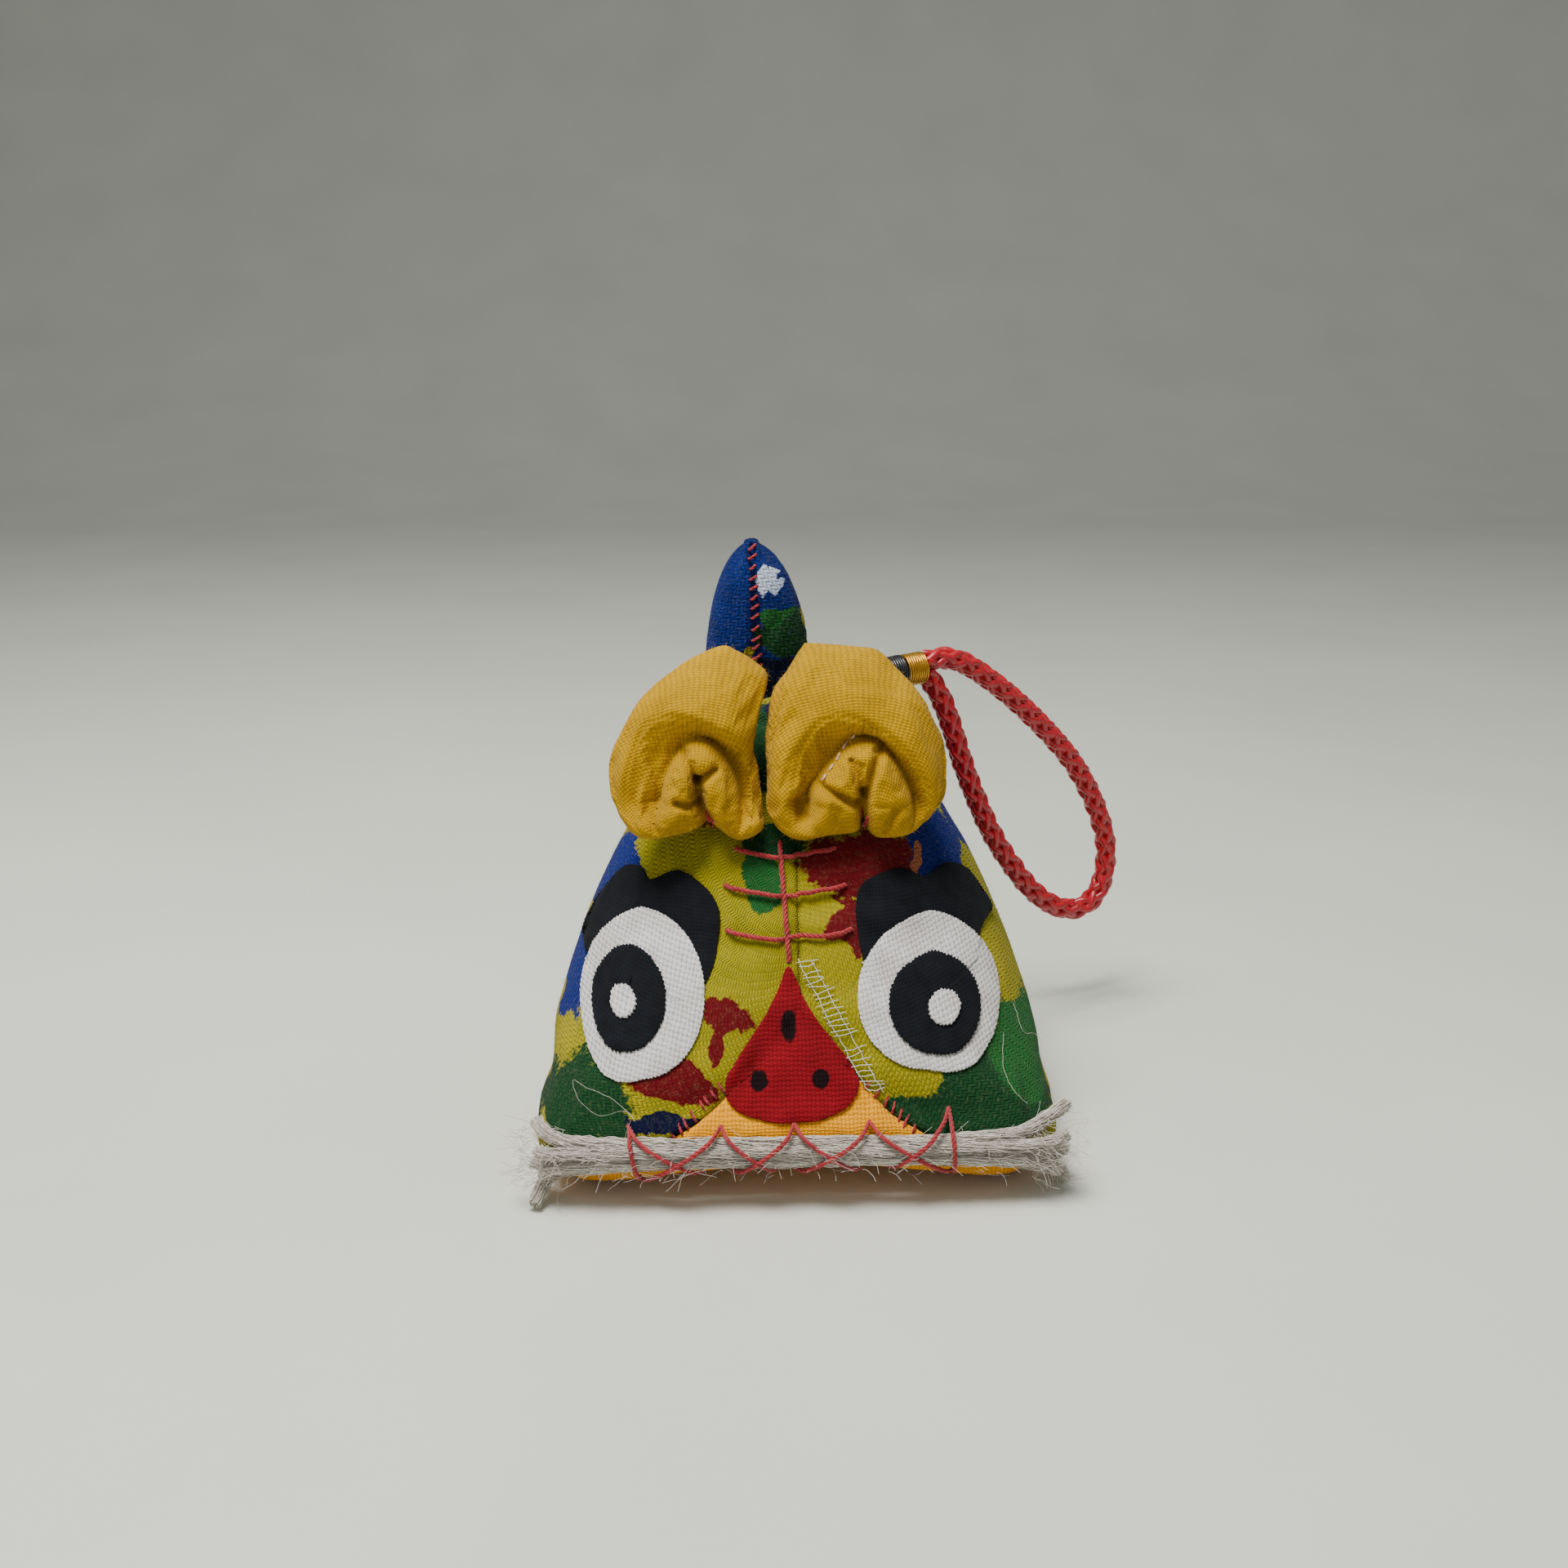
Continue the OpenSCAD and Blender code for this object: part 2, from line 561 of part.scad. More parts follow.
// The two legs of the cord bound into one stem, with the hole for the tack thread
module hanger_stem() {
    color(red) difference() {
        union() {
            translate(pivot) sphere(d = stem_d, $fn = 32);
            on_stem() cylinder(h = stem_l, d = stem_d, $fn = 32);
        }
        translate(pivot) rotate([0, 0, stem_heading]) rotate([90, 0, 0])
            cylinder(h = 2 * stem_d, d = tack_d + 0.2, center = true, $fn = 24);
    }
}
module binding(from, length) {
    on_stem() translate([0, 0, from]) difference() {
        cylinder(h = length, d = stem_d + 2 * binding_t, $fn = 32);
        translate([0, 0, -1]) cylinder(h = length + 2, d = stem_d, $fn = 32);
    }
}
module hanger_black_binding() { color(black) binding(stem_l - gold_l - black_l, black_l); }
module hanger_gold_binding() { color(gold) binding(stem_l - gold_l, gold_l); }

// Route of the braided loop from the stem's open end, out, down and back: how far out along the
// stem's heading, and how far up
loop_route = [
    [0.6, 1.7], [2.4, 1.7], [5.3, 0.5], [9.1, -2.2], [14.1, -6], [19.6, -11], [24, -15.9],
    [27.7, -21.9], [29.8, -27.9], [29.4, -33.4], [26.6, -36.4], [22.3, -36], [17.9, -33],
    [14.1, -28.6], [10.8, -23.8], [8.2, -18.8], [6.3, -13.4], [4.9, -8], [3.6, -3.6], [0.6, -1.4]];
stem_end = pivot + stem_l * [cos(stem_heading) * cos(stem_climb), sin(stem_heading) * cos(stem_climb),
    sin(stem_climb)];
cord_route = [for (p = loop_route)
    stem_end + [p[0] * cos(stem_heading), p[0] * sin(stem_heading), p[1]]];
module hanger_cord_loop() {
    color(red) tube(smooth(cord_route, 3), cord_d, 8, [0.4, -0.916, 0]);
}

body_stuffing();
body_panel_left();
body_panel_right();
base_panel();
base_seam_stitches();
tail_stuffing();
tail_panel_left();
tail_panel_right();
tail_seam_stitches();
ear_stuffing_left();
ear_stuffing_right();
ear_cover_left();
ear_cover_right();
ear_gather_thread_left();
ear_gather_thread_right();
brow_left();
brow_right();
eye_white_left();
eye_white_right();
eye_ring_left();
eye_ring_right();
eye_pupil_left();
eye_pupil_right();
nose_patch();
forehead_stitches();
whisker_strand_1();
whisker_strand_2();
whisker_strand_3();
whisker_strand_4();
whisker_strand_5();
mouth_stitches();
hanger_tack_thread();
hanger_stem();
hanger_black_binding();
hanger_gold_binding();
hanger_cord_loop();
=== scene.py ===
import math
import random

import bmesh
import bpy
import numpy as np
from mathutils import Matrix, Vector, noise
from mathutils.bvhtree import BVHTree


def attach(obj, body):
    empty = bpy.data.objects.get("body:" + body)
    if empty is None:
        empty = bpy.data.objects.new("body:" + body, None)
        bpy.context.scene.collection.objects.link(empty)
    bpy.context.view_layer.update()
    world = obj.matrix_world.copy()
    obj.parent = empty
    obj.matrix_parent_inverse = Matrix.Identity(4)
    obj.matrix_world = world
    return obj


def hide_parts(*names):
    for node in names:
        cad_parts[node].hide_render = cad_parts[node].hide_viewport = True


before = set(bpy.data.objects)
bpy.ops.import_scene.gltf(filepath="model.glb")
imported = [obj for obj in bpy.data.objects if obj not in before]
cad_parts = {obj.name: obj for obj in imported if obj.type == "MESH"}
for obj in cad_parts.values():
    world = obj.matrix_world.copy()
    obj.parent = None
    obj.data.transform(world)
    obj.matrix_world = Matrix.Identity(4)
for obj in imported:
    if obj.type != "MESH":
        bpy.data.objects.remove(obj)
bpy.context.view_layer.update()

scene = bpy.context.scene
MM = 0.001

# ---- Camera -------------------------------------------------------------------
# A hand-held camera close in front of the face, a little above it and turned slightly.

camera = bpy.data.objects.new("camera", bpy.data.cameras.new("camera"))
camera.data.lens = 36.09
camera.data.sensor_width = 36
camera.data.clip_start = 0.01
camera.location = (-0.00707, -0.18185, 0.088)
camera.rotation_euler = (math.radians(75), 0, math.radians(-2))
scene.collection.objects.link(camera)
scene.camera = camera

# ---- Braided cord loop ----------------------------------------------------------
# Eight satin rayon strands braided round a core into a soft round cord. It leaves the open end
# of the bindings, droops in one loop and goes back in. Limp, about 3 mm thick.


def colour(code):
    """sRGB hex colour as linear values."""
    parts = [int(code[i:i + 2], 16) / 255 for i in (1, 3, 5)]
    return tuple(c / 12.92 if c <= 0.04045 else ((c + 0.055) / 1.055) ** 2.4
                 for c in parts) + (1,)


def put(tree, kind, links=None, out=0, **settings):
    """Add a node with its settings, fill or link its inputs, and give one of its outputs."""
    item = tree.nodes.new(kind if "Node" in kind else "ShaderNode" + kind)
    for key, value in settings.items():
        setattr(item, key, value)
    for key, value in (links or {}).items():
        if isinstance(value, bpy.types.NodeSocket):
            tree.links.new(value, item.inputs[key])
        else:
            item.inputs[key].default_value = value
    return item.outputs[out] if len(item.outputs) else item


def finish_material(name, **sockets):
    """Empty material with one shader; its constant values sit on the shader's own sockets."""
    material = bpy.data.materials.new(name)
    material.use_nodes = True
    tree = material.node_tree
    tree.nodes.clear()
    surface = put(tree, "BsdfPrincipled", {k.replace("_", " "): v for k, v in sockets.items()})
    put(tree, "OutputMaterial", {"Surface": surface})
    return material, tree, surface.node


def speckled(tree, base, other, size):
    """Colour that drifts between two tones over patches of one size in millimetres."""
    place = put(tree, "TexCoord", out="Object")
    cloud = put(tree, "TexNoise", {"Vector": place, "Scale": 1 / (size * MM), "Detail": 4.0})
    share = put(tree, "MapRange", {"Value": cloud, 1: 0.25, 2: 0.75})
    return put(tree, "Mix", {0: share, 6: colour(base), 7: colour(other)}, out=2,
               data_type="RGBA")


def thread_finish(name, tone, deep, rough, sheen=0.3, metal=0.0, grain=0.25, bump=0.35, coat=0.0):
    """Thread of fine fibres: tone varies along it, and fine fibres roughen it."""
    material, tree, shader = finish_material(
        name, Roughness=rough, Metallic=metal, Sheen_Weight=sheen, Sheen_Roughness=0.4,
        Coat_Weight=coat)
    tree.links.new(speckled(tree, tone, deep, grain), shader.inputs["Base Color"])
    place = put(tree, "TexCoord", out="Object")
    fibres = put(tree, "TexNoise", {"Vector": place, "Scale": 1 / (0.12 * MM), "Detail": 3.0})
    tree.links.new(put(tree, "Bump", {"Height": fibres, "Strength": bump,
                                      "Distance": 0.00008}), shader.inputs["Normal"])
    return material


def smooth_line(points, steps, closed=False):
    """Catmull-Rom curve through points."""
    p = [np.array(q, float) for q in points]
    n = len(p)
    line = []
    for i in range(n if closed else n - 1):
        a, b, c, d = ([p[(i + k) % n] for k in (-1, 0, 1, 2)] if closed else
                      [p[min(n - 1, max(0, i + k))] for k in (-1, 0, 1, 2)])
        for k in range(steps):
            f = k / steps
            line.append(0.5 * (2 * b + (c - a) * f + (2 * a - 5 * b + 4 * c - d) * f * f
                               + (3 * b - a - 3 * c + d) * f ** 3))
    return line if closed else line + [p[-1]]


def even_line(points, step):
    """The same line with points a fixed distance apart."""
    p = np.array(points, float)
    along = np.concatenate([[0], np.cumsum(np.linalg.norm(np.diff(p, axis=0), axis=1))])
    at = np.linspace(0, along[-1], max(2, int(round(along[-1] / step)) + 1))
    return np.stack([np.interp(at, along, p[:, k]) for k in range(3)], 1), at


def side_directions(line):
    """Two directions square to a line at each point, that do not spin round it."""
    ahead = np.gradient(line, axis=0)
    ahead /= np.linalg.norm(ahead, axis=1)[:, None]
    first = np.cross(ahead[0], (0.4, -0.9, 0.2))
    rows = []
    for t in ahead:
        first = first - t * first.dot(t)
        first = first / np.linalg.norm(first)
        rows.append((first, np.cross(t, first)))
    return np.array([r[0] for r in rows]), np.array([r[1] for r in rows])


def braid_lines(route, reach, dive, lay, step=0.3):
    """Eight strands, four each way round, that pass over and under each other in turn."""
    line, at = even_line(route, step)
    u, v = side_directions(line)
    lines = []
    for way in (1, -1):
        radius = reach + way * dive * np.cos(8 * math.pi * at / lay)
        for k in range(4):
            turn = way * 2 * math.pi * at / lay + k * math.pi / 2
            lines.append(line + radius[:, None] * (u * np.cos(turn)[:, None]
                                                   + v * np.sin(turn)[:, None]))
    return lines


def start_tree(name, sockets):
    """Empty geometry tree with named inputs; gives the tree and the inputs inside it."""
    tree = bpy.data.node_groups.new(name, "GeometryNodeTree")
    for label, kind in (("Geometry", "Geometry"),) + sockets:
        tree.interface.new_socket(label, in_out="INPUT", socket_type="NodeSocket" + kind)
    tree.interface.new_socket("Geometry", in_out="OUTPUT", socket_type="NodeSocketGeometry")
    return tree, tree.nodes.new("NodeGroupInput").outputs


def end_tree(tree, shape, given):
    """Realize what a tree has made and give it its material."""
    real = put(tree, "GeometryNodeRealizeInstances", {"Geometry": shape})
    done = put(tree, "GeometryNodeSetMaterial",
               {"Geometry": real, "Material": given["Material"]})
    tree.links.new(done, tree.nodes.new("NodeGroupOutput").inputs[0])
    return tree


def thread_tree():
    """Geometry nodes that lay plies round each curve and give them thickness."""
    tree, given = start_tree("laid_thread", (
        ("Plies", "Int"), ("Ply Radius", "Float"), ("Lay Radius", "Float"), ("Twist", "Float"),
        ("Fill", "Float"), ("Wander", "Float"), ("Wander Length", "Float"), ("Sides", "Int"),
        ("Seed", "Int"), ("Material", "Material")))
    copies = put(tree, "GeometryNodeDuplicateElements",
                 {"Geometry": given["Geometry"], "Amount": given["Plies"]}, domain="SPLINE")
    index = copies.node.outputs["Duplicate Index"]
    along = put(tree, "GeometryNodeSplineParameter", out="Length")
    share = put(tree, "Math", {0: index, 1: given["Plies"]}, operation="DIVIDE")
    start = put(tree, "Math", {0: share, 1: 2 * math.pi}, operation="MULTIPLY")
    turn = put(tree, "Math", {0: along, 1: given["Twist"], 2: start}, operation="MULTIPLY_ADD")
    draw = put(tree, "FunctionNodeRandomValue", {"ID": index, "Seed": given["Seed"]}, out=1,
               data_type="FLOAT")
    spread = put(tree, "Math", {0: draw, 1: 0.5}, operation="POWER")
    spread = put(tree, "Math", {0: spread, 1: 1.0}, operation="SUBTRACT")
    spread = put(tree, "Math", {0: spread, 1: given["Fill"], 2: 1.0}, operation="MULTIPLY_ADD")
    reach = put(tree, "Math", {0: spread, 1: given["Lay Radius"]}, operation="MULTIPLY")
    normal = put(tree, "GeometryNodeInputNormal")
    ahead = put(tree, "GeometryNodeInputTangent")
    across = put(tree, "VectorMath", {0: ahead, 1: normal}, operation="CROSS_PRODUCT")
    first = put(tree, "VectorMath", {0: normal, "Scale": put(tree, "Math", {0: turn},
                operation="COSINE")}, operation="SCALE")
    second = put(tree, "VectorMath", {0: across, "Scale": put(tree, "Math", {0: turn},
                 operation="SINE")}, operation="SCALE")
    round_it = put(tree, "VectorMath", {0: first, 1: second}, operation="ADD")
    offset = put(tree, "VectorMath", {0: round_it, "Scale": reach}, operation="SCALE")
    pace = put(tree, "Math", {0: 1.0, 1: given["Wander Length"]}, operation="DIVIDE")
    place = put(tree, "GeometryNodeInputPosition")
    which = put(tree, "Math", {0: index, 1: 7.31, 2: given["Seed"]}, operation="MULTIPLY_ADD")
    cloud = put(tree, "TexNoise", {"Vector": place, "W": which, "Scale": pace, "Detail": 2.0},
                out="Color", noise_dimensions="4D")
    lean_by = put(tree, "VectorMath", {0: cloud, 1: (0.5, 0.5, 0.5)}, operation="SUBTRACT")
    lean_by = put(tree, "VectorMath", {0: lean_by, "Scale": given["Wander"]}, operation="SCALE")
    shift = put(tree, "VectorMath", {0: offset, 1: lean_by}, operation="ADD")
    laid = put(tree, "GeometryNodeSetPosition", {"Geometry": copies, "Offset": shift})
    ring = put(tree, "GeometryNodeCurvePrimitiveCircle",
               {"Resolution": given["Sides"], "Radius": given["Ply Radius"]})
    tube = put(tree, "GeometryNodeCurveToMesh",
               {"Curve": laid, "Profile Curve": ring, "Fill Caps": True})
    return end_tree(tree, tube, given)


LAID_THREAD = thread_tree()


def made_by(tree, piece, values):
    """Put a geometry tree on a piece, fill its inputs and keep the mesh that it makes."""
    modifier = piece.modifiers.new("made", "NODES")
    modifier.node_group = tree
    for item in tree.interface.items_tree:
        if item.in_out == "INPUT" and item.name in values:
            modifier[item.identifier] = values[item.name]
    return plain_mesh(piece)


def plain_mesh(piece):
    """Keep a piece's finished mesh and drop its modifiers."""
    shape = bpy.data.meshes.new_from_object(
        piece.evaluated_get(bpy.context.evaluated_depsgraph_get()))
    name = piece.name
    bpy.data.objects.remove(piece)
    result = bpy.data.objects.new(name, shape)
    scene.collection.objects.link(result)
    shape.polygons.foreach_set("use_smooth", [True] * len(shape.polygons))
    return result


def threads(name, lines, material, thickness, plies=1, lay=0.0, twist=0.0, fill=0.0, wander=0.0,
            wander_length=1.0, sides=6, seed=1):
    """Mesh of threads along lines; all sizes in millimetres, twist in turns a millimetre."""
    data = bpy.data.curves.new(name, "CURVE")
    data.dimensions = "3D"
    for line in lines:
        spline = data.splines.new("POLY")
        spline.points.add(len(line) - 1)
        flat = np.ones((len(line), 4))
        flat[:, :3] = np.array(line) * MM
        spline.points.foreach_set("co", flat.ravel())
    piece = bpy.data.objects.new(name, data)
    scene.collection.objects.link(piece)
    return made_by(LAID_THREAD, piece, {
        "Plies": plies, "Ply Radius": thickness / 2 * MM, "Lay Radius": lay * MM,
        "Twist": twist * 2 * math.pi / MM, "Fill": fill, "Wander": wander * MM,
        "Wander Length": wander_length * MM, "Sides": sides, "Seed": seed,
        "Material": material})


def join(first, *others):
    """One piece from several meshes that keep their materials."""
    body = bmesh.new()
    body.from_mesh(first.data)
    for other in others:
        slots = []
        for material in other.data.materials:
            if material.name not in first.data.materials:
                first.data.materials.append(material)
            slots.append(first.data.materials.find(material.name))
        if slots:
            for face in other.data.polygons:
                face.material_index = slots[face.material_index]
        body.from_mesh(other.data)
        bpy.data.objects.remove(other)
    body.to_mesh(first.data)
    body.free()
    return first


PIVOT = np.array([0.6, 8, 49.1])
STEM_LENGTH = 19.2
HEADING = math.atan2(0.4, 0.916)
CLIMB = math.radians(4)
stem_ahead = np.array([math.cos(HEADING) * math.cos(CLIMB), math.sin(HEADING) * math.cos(CLIMB),
                       math.sin(CLIMB)])
stem_across = np.array([-math.sin(HEADING), math.cos(HEADING), 0])
stem_up = np.cross(stem_ahead, stem_across)
stem_end = PIVOT + STEM_LENGTH * stem_ahead
loop_steps = [(-0.4, 0.7), (2.4, 0.9), (5.3, 0.1), (9.1, -2.2), (14.1, -6), (19.6, -11),
              (24, -15.9), (27.7, -21.9), (29.8, -27.9), (29.4, -33.4), (26.6, -36.4),
              (22.3, -36), (17.9, -33), (14.1, -28.6), (10.8, -23.8), (8.2, -18.8),
              (5.8, -13.4), (3.8, -8), (1.9, -3.8), (-0.4, -0.7)]
loop_points = [stem_end + (a * math.cos(HEADING), a * math.sin(HEADING), up)
               for a, up in loop_steps]
loop_line = smooth_line(loop_points, 10)
# Satin rayon: smooth filament, so it shines, with fine fibre bumps over each strand.
red_satin = thread_finish("red_rayon_braided", "#c41324", "#8c0a16", 0.34, sheen=0.05, grain=0.5,
                          bump=0.2, coat=0.2)
cord_loop = join(threads("cord_loop", braid_lines(loop_line, 0.86, 0.13, 12), red_satin, 1.08,
                         wander=0.06, sides=10),
                 threads("cord_core", [loop_line], red_satin, 1.7, sides=10))
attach(cord_loop, "hanger")
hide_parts("hanger_cord_loop")

# ---- Bound stem of the loop -------------------------------------------------------
# The same cord, folded round its tack thread, squeezed flat and bound. Black silk is wound
# tightly over it, and fine gold-coloured lurex closes the open end.

LEG_APART = 0.85
fold = [stem_end + LEG_APART * stem_up, PIVOT + 1.5 * stem_ahead + LEG_APART * stem_up,
        PIVOT + 0.2 * stem_ahead + 0.9 * stem_up, PIVOT - 0.85 * stem_ahead,
        PIVOT + 0.2 * stem_ahead - 0.9 * stem_up, PIVOT + 1.5 * stem_ahead - LEG_APART * stem_up,
        stem_end - LEG_APART * stem_up]
stem = threads("cord_stem", braid_lines(smooth_line(fold, 24), 0.5, 0.1, 5.0), red_satin, 0.52,
               wander=0.06, sides=7)
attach(stem, "hanger")
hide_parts("hanger_stem")


def winding_tree():
    """Geometry nodes for a thread wound closely along a rod that points up."""
    tree, given = start_tree("wound_binding", (
        ("Turns", "Float"), ("Radius", "Float"), ("Length", "Float"), ("Thread", "Float"),
        ("Unevenness", "Float"), ("Material", "Material")))
    coil = put(tree, "GeometryNodeCurveSpiral",
               {"Resolution": 26, "Rotations": given["Turns"], "Start Radius": given["Radius"],
                "End Radius": given["Radius"], "Height": given["Length"]})
    cloud = put(tree, "TexNoise", {"Vector": put(tree, "GeometryNodeInputPosition"),
                                   "Scale": 1100.0}, out="Color")
    lean_by = put(tree, "VectorMath", {0: cloud, 1: (0.5, 0.5, 0.5)}, operation="SUBTRACT")
    lean_by = put(tree, "VectorMath", {0: lean_by, "Scale": given["Unevenness"]},
                  operation="SCALE")
    laid = put(tree, "GeometryNodeSetPosition", {"Geometry": coil, "Offset": lean_by})
    ring = put(tree, "GeometryNodeCurvePrimitiveCircle",
               {"Resolution": 6, "Radius": given["Thread"]})
    tube = put(tree, "GeometryNodeCurveToMesh",
               {"Curve": laid, "Profile Curve": ring, "Fill Caps": True})
    return end_tree(tree, tube, given)


WOUND_BINDING = winding_tree()


def binding(name, start, length, thread, material, node):
    """One thread wound round the stem between two places along it."""
    piece = bpy.data.objects.new(name, bpy.data.meshes.new(name))
    scene.collection.objects.link(piece)
    piece = made_by(WOUND_BINDING, piece, {
        "Turns": length / (thread * 0.92), "Radius": (1.75 + thread / 2) * MM,
        "Length": length * MM, "Thread": thread / 2 * MM, "Unevenness": 0.16 * MM,
        "Material": material})
    place = Matrix((stem_across, stem_up, stem_ahead)).transposed().to_4x4()
    place.translation = Vector((PIVOT + start * stem_ahead) * MM)
    if place.determinant() < 0:
        place = place @ Matrix.Scale(-1, 4, (1, 0, 0))
    piece.data.transform(place)
    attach(piece, "hanger")
    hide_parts(node)


# Filament silk: tight, smooth and shiny; lurex: a strip of metallised film, bright and hard.
black_silk = thread_finish("black_silk_wound", "#090a0d", "#14161b", 0.3, sheen=0.1, grain=0.6,
                           coat=0.3)
gold_lurex = thread_finish("gold_lurex_wound", "#e0ab3c", "#b07f24", 0.3, sheen=0.0, metal=0.85,
                           grain=0.3)
binding("black_binding", 6.7, 8.8, 0.36, black_silk, "hanger_black_binding")
binding("gold_binding", 15.6, 2.8, 0.34, gold_lurex, "hanger_gold_binding")

# ---- Printed side panels and base ------------------------------------------------
# Two panels of brush-printed cotton twill, sewn along the ridge and down the face and back, and
# one panel of plain amber cotton for the base, whose point rises up the face under the nose.
# Sewn inside out, turned and stuffed firmly, so the cloth is round and puckers at its seams.

WIDTH, HEIGHT, FRONT, BACK = 58, 47, 28.5, 31
WAIST, ROUND, ARCH, LEAN = 7, 7, 3.5, 0.6
INSERT_WIDTH, INSERT_HEIGHT, SEAM = 34, 18.5, 3.5


def rise(z):
    return min(1.0, max(0.0, (z - WAIST) / (HEIGHT - WAIST)))


def tuck(z):
    return 1 - math.sqrt(1 - min(1, max(0, 1 - z / WAIST)) ** 2) if z < WAIST else 0


def half_width(z):
    return WIDTH / 2 * math.sqrt(max(0, 1 - rise(z) ** 1.35)) - ROUND * tuck(z)


def front_edge(z):
    return -FRONT + (FRONT + 2.7) * rise(z) ** 1.1 + 1.4 * tuck(z)


def widest(z):
    return -20 + 26 * (1 - (1 - rise(z)) ** 3)


def back_edge(z):
    up = (z - 14) / (HEIGHT - 14)
    return 13 - ROUND * tuck(z) + (BACK - 13) * math.sqrt(max(0, 1 - up ** 2))


def lean(z):
    return LEAN * (1 - (1 - rise(z)) ** 2)


def bulge(share, power):
    return max(0, 1 - min(1, abs(share)) ** power) ** (1 / power)


def lip_rise(x, y, z):
    return (ARCH * max(0, 1 - (x / (0.45 * WIDTH)) ** 2)
            * min(1, max(0, (-12 - y) / (FRONT - 15))) ** 1.5 * max(0, 1 - z / 10))


def skin(z, turn, share=1.0):
    """Point of the stuffed body at a height and a turn from the front, in millimetres."""
    s = math.sin(turn)
    x = lean(z) + max(0.5, half_width(z)) * s * share
    if abs(turn) <= math.pi / 2:
        y = widest(z) - (widest(z) - front_edge(z)) * bulge(s, 2 + 3 * (1 - rise(z)) ** 5)
    else:
        y = widest(z) + (back_edge(z) - widest(z)) * bulge(s, 1.8)
    y *= share
    return (x, y, z + lip_rise(x, y, z))


def face_y(x, z):
    return widest(z) - (widest(z) - front_edge(z)) * bulge(
        min(0.985, abs(x - lean(z)) / max(1, half_width(z))), 2 + 3 * (1 - rise(z)) ** 5)


def seam_height(turn):
    if abs(turn) > math.pi / 2:
        return SEAM
    return SEAM + (INSERT_HEIGHT - SEAM) * max(
        0, 1 - abs(WIDTH / 2 * math.sin(turn)) / (INSERT_WIDTH / 2))


def mesh_piece(name, points, faces, material=None, corner_uv=None):
    """Mesh from points in millimetres, with outward faces and an optional cloth map."""
    shape = bpy.data.meshes.new(name)
    shape.from_pydata([tuple(c * MM for c in p) for p in points], [], faces)
    if corner_uv is not None:
        layer = shape.uv_layers.new(name="cloth")
        layer.data.foreach_set("uv", np.array(corner_uv, float).ravel())
    body = bmesh.new()
    body.from_mesh(shape)
    bmesh.ops.recalc_face_normals(body, faces=body.faces)
    body.to_mesh(shape)
    body.free()
    shape.polygons.foreach_set("use_smooth", [True] * len(shape.polygons))
    if material:
        shape.materials.append(material)
    piece = bpy.data.objects.new(name, shape)
    scene.collection.objects.link(piece)
    return piece


def puff(piece, held, grow, pressure, cap):
    """Fill a piece with a cloth simulation, run at ten times the size; cap in millimetres."""
    count = len(piece.data.vertices)
    start = np.empty(count * 3)
    piece.data.vertices.foreach_get("co", start)
    piece.data.transform(Matrix.Scale(10, 4))
    group = piece.vertex_groups.new(name="held")
    for vertex, weight in enumerate(held):
        if weight > 0:
            group.add([vertex], float(weight), "REPLACE")
    cloth = piece.modifiers.new("stuffed", "CLOTH")
    cloth.settings.quality = 5
    cloth.settings.mass = 0.2
    cloth.settings.tension_stiffness = cloth.settings.compression_stiffness = 25
    cloth.settings.bending_stiffness = 0.4
    cloth.settings.vertex_group_mass = "held"
    cloth.settings.use_pressure = True
    cloth.settings.uniform_pressure_force = pressure
    cloth.settings.shrink_min = -grow
    cloth.settings.effector_weights.gravity = 0
    cloth.collision_settings.use_collision = False
    cloth.point_cache.frame_start = 1
    cloth.point_cache.frame_end = 20
    for step in range(1, 21):
        scene.frame_set(step)
    moved = np.empty(count * 3)
    solved = piece.evaluated_get(bpy.context.evaluated_depsgraph_get())
    solved.data.vertices.foreach_get("co", moved)
    piece.modifiers.remove(cloth)
    scene.frame_set(1)
    move = (moved / 10 - start).reshape(-1, 3)
    far = np.linalg.norm(move, axis=1)
    move *= np.minimum(1, cap * MM / np.maximum(far, 1e-9))[:, None]
    piece.data.vertices.foreach_set("co", (start.reshape(-1, 3) + move).ravel())
    piece.data.update()
    piece.vertex_groups.clear()


TURNS = 160
turns = [math.pi * (2 * i / TURNS - 1) for i in range(TURNS)]
under_shares = (0.1, 0.25, 0.4, 0.55, 0.7, 0.85)
LOW, HIGH = 9, 46
rows = [("under", share) for share in under_shares]
rows += [("low", k / LOW) for k in range(LOW + 1)]
rows += [("high", k / HIGH) for k in range(1, HIGH + 1)]
points, held = [], []
for kind, share in rows:
    for turn in turns:
        seam = seam_height(turn)
        if kind == "under":
            points.append(skin(0, turn, share))
        elif kind == "low":
            points.append(skin(seam * (1 - math.cos(math.pi / 2 * share)), turn))
        else:
            points.append(skin(seam + (HEIGHT - seam) * math.sin(math.pi / 2 * share), turn))
        on_seam = (kind, share) == ("low", 1) or abs(math.sin(turn)) < 1e-6
        held.append(1.0 if kind == "under" or (kind == "low" and share < 0.4) or on_seam
                    or (kind, share) == ("high", 1) else 0.0)
seam_row = len(under_shares) + LOW
faces, regions, corner_uv = [], [], []
lengths = []
for r in range(len(rows)):
    ring = np.array(points[r * TURNS:(r + 1) * TURNS] + [points[r * TURNS]])
    lengths.append(np.concatenate([[0], np.cumsum(np.linalg.norm(np.diff(ring, axis=0), axis=1))]))
side_line = np.array([points[r * TURNS + 3 * TURNS // 4] for r in range(len(rows))])
climb = np.concatenate([[0], np.cumsum(np.linalg.norm(np.diff(side_line, axis=0), axis=1))])


